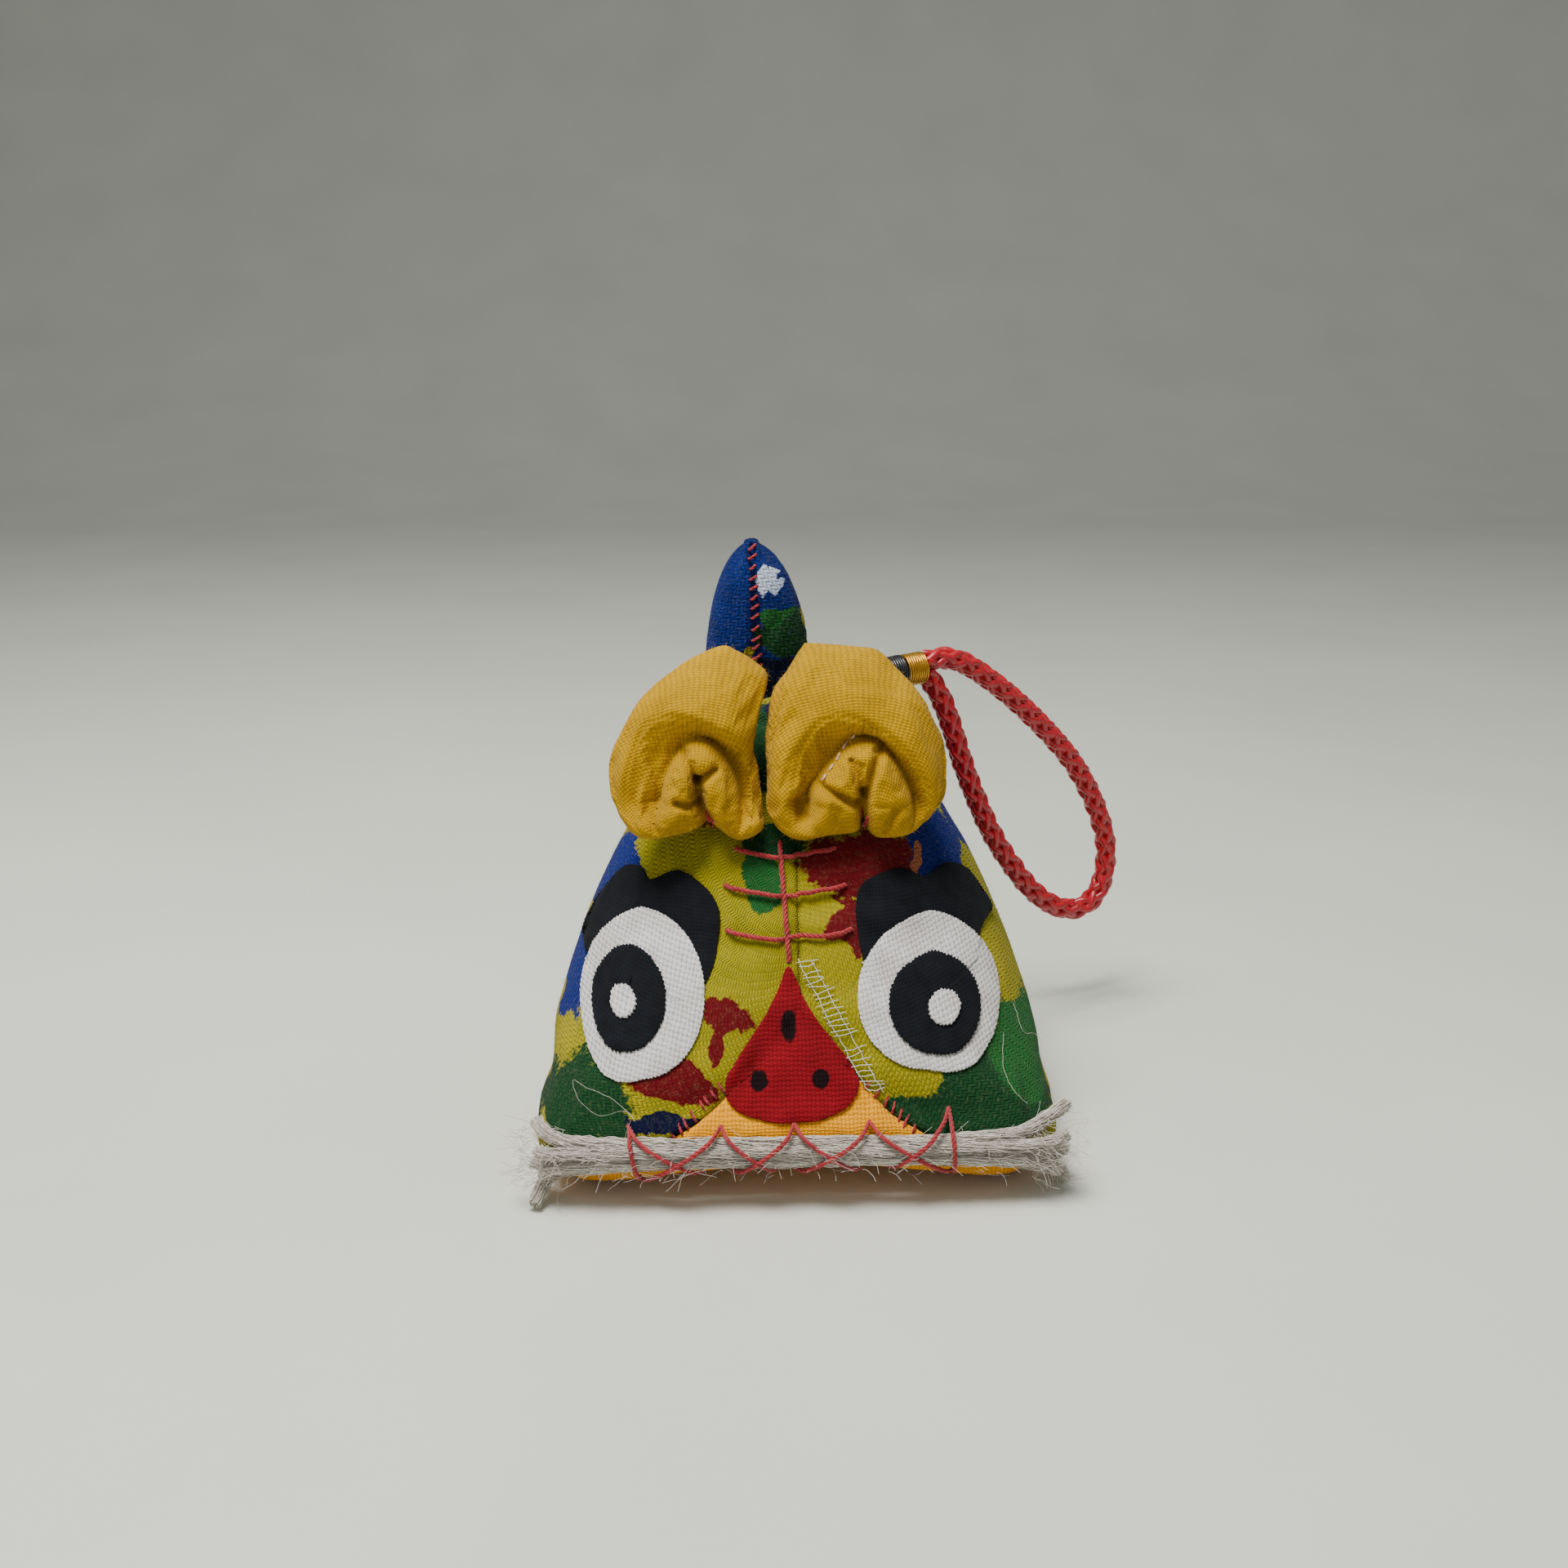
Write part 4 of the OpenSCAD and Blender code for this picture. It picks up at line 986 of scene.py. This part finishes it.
ear("ear_right",
    [(2.4, 56.6), (7.9, 56.1), (10.3, 55.7), (12.4, 53.6), (15.1, 51), (16.7, 48.5), (17.7, 45.1),
     (17.8, 41.5), (17.3, 39.5), (16.2, 37.7), (14.8, 36.5), (12.9, 35.5), (9.9, 35.3),
     (8.7, 35.8), (8.2, 36.9), (7.4, 36), (4, 35.6), (1.3, 35.1), (-0.6, 35.5), (-2.2, 36.9),
     (-2.9, 38.6), (-2.9, 42.2), (-3, 45.3), (-3.1, 49.1), (-2.3, 51.9), (-0.3, 54.2),
     (1.6, 56.3)],
    (7.4, 44.8),
    [(0, 38), (0.7, 42), (1.7, 46.3), (4, 48.7), (7.4, 48.2), (10.6, 46.4), (13.4, 43), (15.2, 39),
     (14, 35), (8, 33.5), (1.5, 34.5)],
    [(2, 36.6), (1.8, 38.9), (2.1, 41), (4.4, 43.9), (6.5, 45.9), (8.6, 46.5), (10.4, 45.7),
     (12.5, 43), (14, 39.3), (13.4, 36.6), (10, 34), (4, 34)],
    [([(10.1, 45.4), (9.1, 43.4), (8.4, 41.2)], 1.7, 0.5),
     ([(6.7, 44.3), (7.2, 42.3), (8.1, 40.4)], 1.4, 0.45),
     ([(3.2, 41.5), (5, 40.7), (7.2, 39.7)], 1.6, 0.5),
     ([(8.1, 40.4), (8.1, 38.6), (8.3, 35)], 2.6, 0.75),
     ([(0.4, 39.6), (0.9, 38)], 1.6, 0.8), ([(11.8, 39), (10.6, 36.6)], 0.7, 0.5)],
    11, ["ear_cover_right", "ear_stuffing_right"])


def draw_thread(spots, pull):
    """Thread pulled across a gather: it dips in at both ends."""
    lie = [on_cloth(x, z, 0.16) for x, z in spots]
    lie[0] = lie[0] + (0, pull, 0)
    lie[-1] = lie[-1] + (0, pull, 0)
    return smooth_line(lie, 8)


sewn("ear_gather_left", [draw_thread([(-9.9, 38.2), (-9.5, 37.2), (-9.4, 36.3), (-9.3, 35.4)], 0.5),
                         draw_thread([(-9.0, 37.6), (-9.1, 36.6), (-9.2, 35.6)], 0.5)],
     "ear_gather_thread_left", seed=5)
sewn("ear_gather_right", [draw_thread([(8.0, 39.2), (8.15, 37.8), (8.3, 36.4), (8.4, 35.3)], 0.5),
                          draw_thread([(8.7, 37.9), (8.5, 36.8), (8.3, 35.6)], 0.5)],
     "ear_gather_thread_right", seed=6)
# Pale basting thread left in the hollow of the right ear: soft cotton, matt
pale_thread = thread_finish("pale_cotton_thread", "#e7c3b4", "#cfa08c", 0.7, sheen=0.4)
sewn("ear_basting", [draw_thread([(7.1 - 4.1 * t, 46.9 - 5.3 * t), (6.9 - 4.1 * t, 46.6 - 5.3 * t),
                                  (6.7 - 4.1 * t, 46.3 - 5.3 * t)], 0.15)
                     for t in (0, 0.2, 0.4, 0.6, 0.8)], None, pale_thread, 0.14)

# ---- Eyes, brows and nose ----------------------------------------------------------
# Flat pieces cut from plain-woven cotton and glued down: brow, white, ring and pupil lie over
# each other, with cut edges that show the ends of their threads. The nose has inked nostrils.


def egg(left, top, right, bottom, count=40):
    """Rounded outline through its four furthest points."""
    cx, cz = (left[0] + right[0]) / 2, (top[1] + bottom[1]) / 2
    ring = []
    for k in range(count):
        a = 2 * math.pi * k / count
        c, s = math.cos(a), math.sin(a)
        u, v = (right if c > 0 else left), (top if s > 0 else bottom)
        ring.append((cx + abs(c) * (u[0] - cx) + abs(s) * (v[0] - cx),
                     cz + abs(c) * (u[1] - cz) + abs(s) * (v[1] - cz)))
    return ring


def cut_cloth(name, outline, material, node, lift, slant=0, thick=0.42, ragged=0.07,
              steps=4, seed=1, pressed=None):
    """Piece of cloth cut to an outline and laid over what is already there. The part of it
    that another piece covers is pressed flat, between two heights."""
    ring = np.array(smooth_line([(x, 0, z) for x, z in outline], steps, closed=True))[:, (0, 2)]
    ring = np.vstack([ring, ring[:1]])
    along = np.concatenate([[0], np.cumsum(np.linalg.norm(np.diff(ring, axis=0), axis=1))])
    count = max(40, int(along[-1] / 0.2) // 2 * 2)
    at = np.linspace(0, along[-1], count, endpoint=False)
    ring = np.stack([np.interp(at, along, ring[:, k]) for k in (0, 1)], 1)
    middle = ring.mean(axis=0)
    pick = random.Random(seed)
    jag = np.array([(1 if k % 2 else -1) * pick.uniform(0.2, 1) * ragged
                    + pick.uniform(-0.4, 0.4) * ragged for k in range(count)])
    outward = ring - middle
    outward /= np.linalg.norm(outward, axis=1)[:, None]
    rows = [s for s in np.sin(np.linspace(0.06, 1, 14) * math.pi / 2)]
    points, faces = [], []
    for over in (1, 0):
        for s in rows:
            for k in range(count):
                x, z = middle + s * (ring[k] - middle) + outward[k] * jag[k] * s ** 8
                edge_drop = 0.3 * thick * s ** 24 if over else 0
                flat = np.interp(z, pressed, (0.1, 1)) if pressed else 1
                points.append(on_cloth(x, z, (lift + (thick - edge_drop if over else 0)) * flat
                                       + 0.01, ease=0.8))
    n, half = count, len(rows) * count
    for k in range(count):
        j = (k + 1) % count
        for r in range(len(rows) - 1):
            a, b = r * n, (r + 1) * n
            faces.append((a + k, a + j, b + j, b + k))
            faces.append((half + a + k, half + b + k, half + b + j, half + a + j))
        a = (len(rows) - 1) * n
        faces.append((a + k, a + j, half + a + j, half + a + k))
    faces.append(tuple(range(n)))
    faces.append(tuple(range(half + n - 1, half - 1, -1)))
    c, s = math.cos(math.radians(slant)), math.sin(math.radians(slant))
    corner_uv = [(points[k][0] * c - points[k][2] * s, points[k][0] * s + points[k][2] * c)
                 for ring_ in faces for k in ring_]
    piece = mesh_piece(name, points, faces, material, corner_uv)
    sharp = piece.data.attributes.new("sharp_edge", "BOOLEAN", "EDGE")
    rim = {(len(rows) - 1) * n + k for k in range(n)} | {half + (len(rows) - 1) * n + k
                                                         for k in range(n)}
    for edge in piece.data.edges:
        if edge.vertices[0] in rim and edge.vertices[1] in rim:
            sharp.data[edge.index].value = True
    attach(piece, "charm")
    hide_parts(node)
    laid_over.append(BVHTree.FromPolygons([tuple(p) for p in points], faces))
    return piece


# Black cotton, close and matt, drawn 0.38 mm apart; white calico, an open weave with painted shade
# in the gaps between its threads, drawn 0.48 mm apart.
black_cotton = cloth_finish("black_cotton_plain_weave", lambda tree: speckled(
    tree, "#0c0e12", "#16181d", 2.0), 0.38, sheen=0.02, shade=0.35, relief=0.06)
white_calico = cloth_finish("white_calico_plain_weave", lambda tree: speckled(
    tree, "#cfccca", "#bab4b1", 3.0), 0.48, sheen=0.06, shade=0.5, relief=0.1)
brow_left = [(-24.9, 21.8), (-23.8, 24.5), (-21.7, 27.5), (-19.6, 29.8), (-17.5, 30.4),
             (-16.4, 29.5), (-13.2, 31), (-10.3, 30), (-8.5, 27.8), (-8.7, 24.6), (-9.6, 21.9),
             (-12, 19.5), (-17, 20), (-22, 20)]
brow_right = [(24, 24.6), (22, 23.8), (20, 21), (14, 20), (9.5, 20), (7.8, 22.6), (7.1, 25.6),
              (7.1, 28.6), (8.3, 30.5), (12.4, 31.2), (15.2, 30), (18.1, 30.6), (20.8, 29.3),
              (22.6, 27)]
cut_cloth("brow_cloth_left", brow_left, black_cotton, "brow_left", 0.08, seed=1,
          pressed=(19.6, 25))
cut_cloth("brow_cloth_right", brow_right, black_cotton, "brow_right", 0.08, seed=2,
          pressed=(19.6, 24.5))
eyes = (("left", ((-24.5, 17.6), (-17.4, 27.1), (-10.2, 20.4), (-16.9, 12.8)),
         ((-23, 18.3), (-18.8, 23.7), (-14.5, 20), (-18.5, 15.2)),
         ((-20.7, 18.8), (-19.3, 20.5), (-17.8, 19.4), (-19.2, 17.8)), 12),
        ("right", ((6.8, 20.4), (15.6, 26.9), (23.5, 18), (14.2, 13.4)),
         ((10.2, 19.7), (15.8, 23.4), (20.7, 18.1), (14.9, 14.9)),
         ((14.5, 19.1), (16.5, 20.3), (18.2, 18.6), (16.1, 17.4)), -14))
for side, white, ring, pupil, slant in eyes:
    cut_cloth("eye_calico_" + side, egg(*white), white_calico, "eye_white_" + side,
              0.06, slant, seed=3)
    cut_cloth("eye_ring_cloth_" + side, egg(*ring), black_cotton, "eye_ring_" + side,
              0.04, slant, ragged=0.12, seed=4)
    cut_cloth("eye_pupil_cloth_" + side, egg(*pupil, count=16), white_calico,
              "eye_pupil_" + side, 0.04, slant, thick=0.35, ragged=0.12, seed=5)


def inked(tree):
    """Red cloth with three inked spots that bleed a little along the threads."""
    spot = put(tree, "TexCoord", out="Object")
    bleed = put(tree, "TexNoise", {"Vector": spot, "Scale": 1500.0, "Detail": 2.0})
    tone = speckled(tree, "#820e19", "#6e0b14", 2.5)
    for x, z, wide, tall in ((-1, 17.6, 0.85, 1.5), (-4.3, 12.6, 1, 0.95), (2.4, 12.8, 0.95, 0.95)):
        local = put(tree, "Mapping", {"Vector": spot, "Location": (x * MM, -0.024, z * MM),
                                      "Scale": (wide * MM, 0.05, tall * MM)},
                    vector_type="TEXTURE")
        away = put(tree, "VectorMath", {0: local}, out="Value", operation="LENGTH")
        away = put(tree, "Math", {0: bleed, 1: 0.4, 2: away}, operation="MULTIPLY_ADD")
        cover = put(tree, "MapRange", {"Value": away, 1: 1.3, 2: 1.1})
        tone = put(tree, "Mix", {0: cover, 6: tone, 7: colour("#17090c")}, out=2,
                   data_type="RGBA")
    return tone


# Plain-woven cotton dyed red, drawn 0.45 mm apart.
red_cotton = cloth_finish("red_cotton_plain_weave", inked, 0.45, shade=0.4)
cut_cloth("nose_cloth",
          [(-0.9, 22.7), (-2.2, 20.4), (-4, 17.8), (-6.4, 15), (-8, 12.4), (-7.3, 10.2),
           (-4.6, 9.1), (-1.2, 8.8), (2.6, 9.1), (5.6, 10.2), (6.5, 12.6), (4.9, 15),
           (2.3, 17.8), (0.4, 20.4)],
          red_cotton, "nose_patch", 0.06, thick=0.45, ragged=0.03, seed=6)

# ---- Hand stitches on the face -------------------------------------------------------
# Plied red cotton: three shallow chevrons crossed by one upright on the forehead, and short
# overcasting that holds the point of the base panel to the sides. A frayed edge of white
# threads stands beside the nose.


def laid(spots, lift, dive=0.6, steps=7):
    """Thread that lies on the cloth and goes down into it at both ends."""
    lie = [on_cloth(x, z, lift, ease=0.4) for x, z in spots]
    lie[0] = lie[0] + (0, dive, 0)
    lie[-1] = lie[-1] + (0, dive, 0)
    return smooth_line([lie[0], lie[0] * 0.25 + lie[1] * 0.75] + lie[1:-1]
                       + [lie[-1] * 0.25 + lie[-2] * 0.75, lie[-1]], steps)


def between(a, b, count):
    return [(a[0] + (b[0] - a[0]) * k / count, a[1] + (b[1] - a[1]) * k / count)
            for k in range(count + 1)]


lines = [laid(between((-1.5, 34.2), (-0.8, 22.9), 14), 0.3)]
for z, left, right in ((33, -6.6, 4.9), (29.4, -7.8, 5.9), (25.3, -7.6, 6.3)):
    lines.append(laid(between((left, z + 0.5), (-1.2, z - 0.35), 7), 0.62))
    lines.append(laid(between((-1.1, z - 0.3), (right, z + 0.55), 7), 0.66))
sewn("forehead_embroidery", lines, "forehead_stitches", thick=0.3, seed=8)
draw = random.Random(5)
lines = []
for a, b in (((-4.6, 15.4), (-13.8, 7.2)), ((3.6, 15.2), (13.6, 6.8))):
    for k in range(8):
        t = 0.42 + 0.55 * k / 7 + draw.uniform(-0.02, 0.02)
        x, z = a[0] + (b[0] - a[0]) * t, a[1] + (b[1] - a[1]) * t
        side = math.copysign(draw.uniform(0.35, 0.6), x)
        lines.append(laid([(x - side * 0.6, z - 0.55), (x, z), (x + side * 0.7, z + 0.55)],
                          0.2, 0.4))
sewn("base_overcast_stitches", lines, "base_seam_stitches", thick=0.16, seed=9)

# Loose white warp ends with the broken weft still across them
# Soft unbleached cotton yarn, matt.
white_thread = thread_finish("white_cotton_yarn", "#d9d9cc", "#bfc0a8", 0.8, sheen=0.5)
lines = []
rail = between((0.6, 23.2), (8.1, 11.2), 26)
for off in (-0.35, 1.15):
    lines.append(laid([(x + off + draw.uniform(-0.08, 0.08), z) for x, z in rail], 0.2, 0.1, 3))
for k in range(1, 52, 2):
    t = k / 2 % 1
    (ax, az), (bx, bz) = rail[k // 2], rail[min(26, k // 2 + 1)]
    x, z = ax + (bx - ax) * t, az + (bz - az) * t
    if draw.random() < 0.85:
        lines.append(laid([(x - draw.uniform(0.4, 0.8), z - draw.uniform(0, 0.3)),
                           (x + 0.4, z + 0.1),
                           (x + draw.uniform(1.1, 1.9), z + draw.uniform(0.1, 0.6))],
                          draw.uniform(0.2, 0.5), 0.1, 4))
frayed = threads("frayed_edge", lines, white_thread, 0.1, wander=0.12, sides=5, seed=4)
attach(frayed, "charm")

# ---- Whiskers and mouth ----------------------------------------------------------------
# Strands of grey wool laid across the lip, their ends loose and fluffy, held down by a
# herringbone of red thread that dips into the cloth above and below the wool.

# Loose roving: dull, with a soft haze of fibre ends.
grey_wool = thread_finish("grey_wool_roving", "#ddd6c9", "#b3a99b", 0.95, sheen=0.5, grain=1.2,
                          bump=0.2)
END_X, END_Y = 28.6, -24


def on_lip(x, z, out):
    """Place in front of the lip, which rises in the middle."""
    climb_at = lip_rise(x, -FRONT, 0)
    return np.array((x, face_y(x, (z - climb_at) / (1 - climb_at / 10) if z < 10 else z) - out, z))


strands = [((-END_X, END_Y - 6, 0.9), 0, 0, (END_X + 1, END_Y - 1, 0.9)),
           ((-END_X - 0.5, END_Y - 1.5, 3.4), 1, 0, (END_X + 1.2, END_Y, 3.6)),
           ((-END_X, END_Y - 1, 8.2), 2, 0, (END_X + 1, END_Y - 1, 9.4)),
           ((-END_X + 1, END_Y - 4.5, 3.4), 0.5, 1, (END_X - 0.5, END_Y - 4.5, 3)),
           ((-END_X + 0.5, END_Y - 4, 6.2), 1.5, 1, (END_X + 0.5, END_Y - 3.5, 6.8))]
for number, (left, step, layer, right) in enumerate(strands, 1):
    z, out = 5.1 + 1.05 * step, 0.8 + layer * 0.9
    route = [left]
    for f in (-0.93, -0.8, -0.5, -0.2, 0.2, 0.5, 0.8, 0.93):
        loose = abs(f) ** 8
        route.append(on_lip(f * 29, z * (1 - loose) + (left if f < 0 else right)[2] * loose,
                            out + 1.6 * loose))
    line, _ = even_line(smooth_line(route + [right], 12), 0.7)
    wool = join(threads("wool_%d" % number, [line], grey_wool, 0.09, plies=92, lay=0.72,
                        twist=0.02, fill=0.9, wander=1.0, wander_length=1.7, sides=3,
                        seed=number),
                threads("wool_heart", [line[1:-1]], grey_wool, 0.8, sides=8))
    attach(wool, "charm")
    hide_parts("whisker_strand_%d" % number)

# Loose fibres that stand off the wool and its ends
draw = random.Random(12)
lines = []
for k in range(620):
    side = draw.choice((-1, 1))
    at_end = draw.random() < 0.6
    x = side * (draw.uniform(25, 30) if at_end else draw.uniform(0, 28))
    z = draw.uniform(1.2, 8.8) if at_end else draw.uniform(4, 8)
    spot = on_lip(max(-28, min(28, x)), z, draw.uniform(1.4, 3.4))
    spot[0] = x
    heading = np.array((side * draw.uniform(0.2, 1), draw.uniform(-0.8, 0.1),
                        draw.uniform(-0.5, 0.7)))
    bend = np.array([draw.uniform(-0.6, 0.6) for _ in range(3)])
    length = draw.uniform(1.2, 3.0)
    line = [spot + heading * length * t + bend * length * t * t for t in (0, 0.25, 0.5, 0.75, 1)]
    lines.append(smooth_line([(p[0], p[1], max(0.15, p[2])) for p in line], 3))
for hairs in ([(-17.6, 8.8, 1.2), (-18.7, 9.9, 1.2), (-21.5, 9.2, 0.9), (-23.6, 10.4, 0.6),
               (-24.4, 11.4, 0.5), (-23, 11.5, 0.5), (-20, 10.9, 0.9), (-17.9, 9.4, 1.5)],
              [(23.3, 14.6, 0.4), (22.6, 12.4, 0.5), (23.4, 10.6, 0.6), (24.6, 9.4, 0.8)],
              [(25.2, 16.2, 0.3), (25.8, 13.8, 0.5), (27.2, 12.9, 0.6), (28, 11.6, 0.9)]):
    lines.append(smooth_line([on_cloth(*spot) for spot in hairs], 8))
fluff = threads("wool_fluff", lines, grey_wool, 0.045, sides=3, wander=0.5, wander_length=1.5,
                seed=7)
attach(fluff, "charm")

legs = [((-18.5, 8.6), (-10.5, 3.4)), ((-17.3, 2.6), (-8.5, 8.6)), ((-8.5, 8.6), (-2.4, 3.5)),
        ((-7.2, 3.4), (-0.6, 8.7)), ((-0.6, 8.7), (6.6, 3.4)), ((-0.5, 3.4), (7.5, 8.8)),
        ((7.5, 8.8), (16.6, 3)), ((9.4, 3.8), (16.2, 9.7)), ((-18.3, 8.3), (-17.3, 2.8)),
        ((16.2, 9.7), (16.6, 3))]
lines = []
for k, ((ax, az), (bx, bz)) in enumerate(legs):
    spots = []
    for t in [m / 10 for m in range(11)]:
        out = 0.5 + (2.0 + 0.22 * (k % 2)) * max(0, math.sin(math.pi * t)) ** 0.42
        spots.append(on_lip(ax + (bx - ax) * t, az + (bz - az) * t + 0.25, out))
    lines.append(smooth_line(spots, 4))
sewn("mouth_herringbone", lines, "mouth_stitches", thick=0.27, seed=10)

# ---- Tack of the loop --------------------------------------------------------------------
# Three passes of red thread through the folded end of the cord, sewn down into the ridge.

lines = []
for k in (-1, 0, 1):
    spots = []
    for side in (-1, 1):
        foot = PIVOT + stem_across * 2.3 * side + stem_ahead * k * 0.25
        found = laid_over[0].ray_cast(Vector((foot[0], foot[1], 90)), Vector((0, 0, -1)))[0]
        foot[2] = (found.z if found else 46) - 0.3
        out = PIVOT + stem_across * 2.1 * side + np.array((0, 0, 0.12 * k))
        spots += [foot, out] if side < 0 else [out, foot]
    lines.append(smooth_line([spots[0], spots[1], PIVOT + np.array((0, 0, 0.1 * k)), spots[2],
                              spots[3]], 8))
sewn("cord_tack", lines, "hanger_tack_thread", thick=0.15, seed=13)

# ---- Nap of the cloth --------------------------------------------------------------------
# Soft cotton sheds short fibre ends all over; they blur the outline of the ears, tail and sides.


def nap_tree():
    """Geometry nodes that stand short fine fibres all over a surface."""
    tree, given = start_tree("cloth_nap", (
        ("Density", "Float"), ("Length", "Float"), ("Thickness", "Float"), ("Seed", "Int"),
        ("Material", "Material")))
    roots = put(tree, "GeometryNodeDistributePointsOnFaces",
                {"Mesh": given["Geometry"], "Density": given["Density"], "Seed": given["Seed"]})
    lean_by = put(tree, "FunctionNodeRandomValue",
                  {0: (-1.2, -1.2, -3), 1: (1.2, 1.2, 3), "Seed": given["Seed"]},
                  data_type="FLOAT_VECTOR")
    turned = put(tree, "FunctionNodeRotateRotation",
                 {0: roots.node.outputs["Rotation"], 1: lean_by},
                 rotation_space="LOCAL")
    fibre = put(tree, "GeometryNodeMeshCone",
                {"Vertices": 3, "Radius Top": 0.000004, "Radius Bottom": given["Thickness"],
                 "Depth": given["Length"]}, fill_type="NGON")
    stand = put(tree, "GeometryNodeInstanceOnPoints",
                {"Points": roots, "Instance": fibre, "Rotation": turned})
    return end_tree(tree, stand, given)


CLOTH_NAP = nap_tree()
for number, (cloth, tone, slot) in enumerate((
        ("side_cloth_left", "#6f6f3a", "printed_cotton_twill"),
        ("side_cloth_right", "#5f6a46", "printed_cotton_twill"),
        ("tail_cloth", "#3a4f86", "tail_cotton"), ("ear_left", "#c79a22", "mustard_cotton"),
        ("ear_right", "#c79a22", "mustard_cotton"))):
    piece = bpy.data.objects.new("nap_" + cloth, bpy.data.objects[cloth].data.copy())
    scene.collection.objects.link(piece)
    piece = made_by(CLOTH_NAP, piece, {
        "Density": 900000.0, "Length": 0.55 * MM, "Thickness": 0.012 * MM, "Seed": number,
        "Material": thread_finish("cotton_nap_" + cloth, tone, tone, 0.9, sheen=0.2)})
    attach(piece, "charm")

# ---- Studio ------------------------------------------------------------------------------
# A plain pale table that runs up into a backdrop, a soft light nearly overhead, a little to the
# front and left, and a weak fill in front.

# Painted board: matt, with a very slight unevenness of tone.
paper, tree, shader = finish_material("pale_matt_board", Roughness=0.6)
tree.links.new(speckled(tree, "#ced0c6", "#d6d8cd", 60), shader.inputs["Base Color"])
sweep = [(-900, 0), (700, 0)] + [(700 + 500 * math.sin(a), 500 - 500 * math.cos(a))
                                for a in [math.pi / 2 * k / 12 for k in range(1, 13)]]
sweep.append((1200, 1800))
floor = mesh_piece("floor", [(x, y, z) for y, z in sweep for x in (-1800, 1800)],
                   [(2 * k, 2 * k + 1, 2 * k + 3, 2 * k + 2) for k in range(len(sweep) - 1)], paper)
for name, place, size, power, tint in (
        ("soft_light", (-0.1, -0.07, 0.48), 0.22, 4.1, (1, 0.985, 0.96)),
        ("fill_light", (-0.3, -0.4, 0.3), 0.5, 0.45, (0.95, 0.98, 1))):
    lamp = bpy.data.objects.new(name, bpy.data.lights.new(name, "AREA"))
    lamp.data.energy, lamp.data.size, lamp.data.color = power, size, tint
    lamp.location = place
    lamp.rotation_euler = (Vector((0, 0, 0.03)) - Vector(place)).to_track_quat("-Z", "Y").to_euler()
    scene.collection.objects.link(lamp)
scene.world = bpy.data.worlds.new("studio")
scene.world.use_nodes = True
scene.world.node_tree.nodes["Background"].inputs["Color"].default_value = (0.92, 0.95, 0.93, 1)
scene.world.node_tree.nodes["Background"].inputs["Strength"].default_value = 0.3
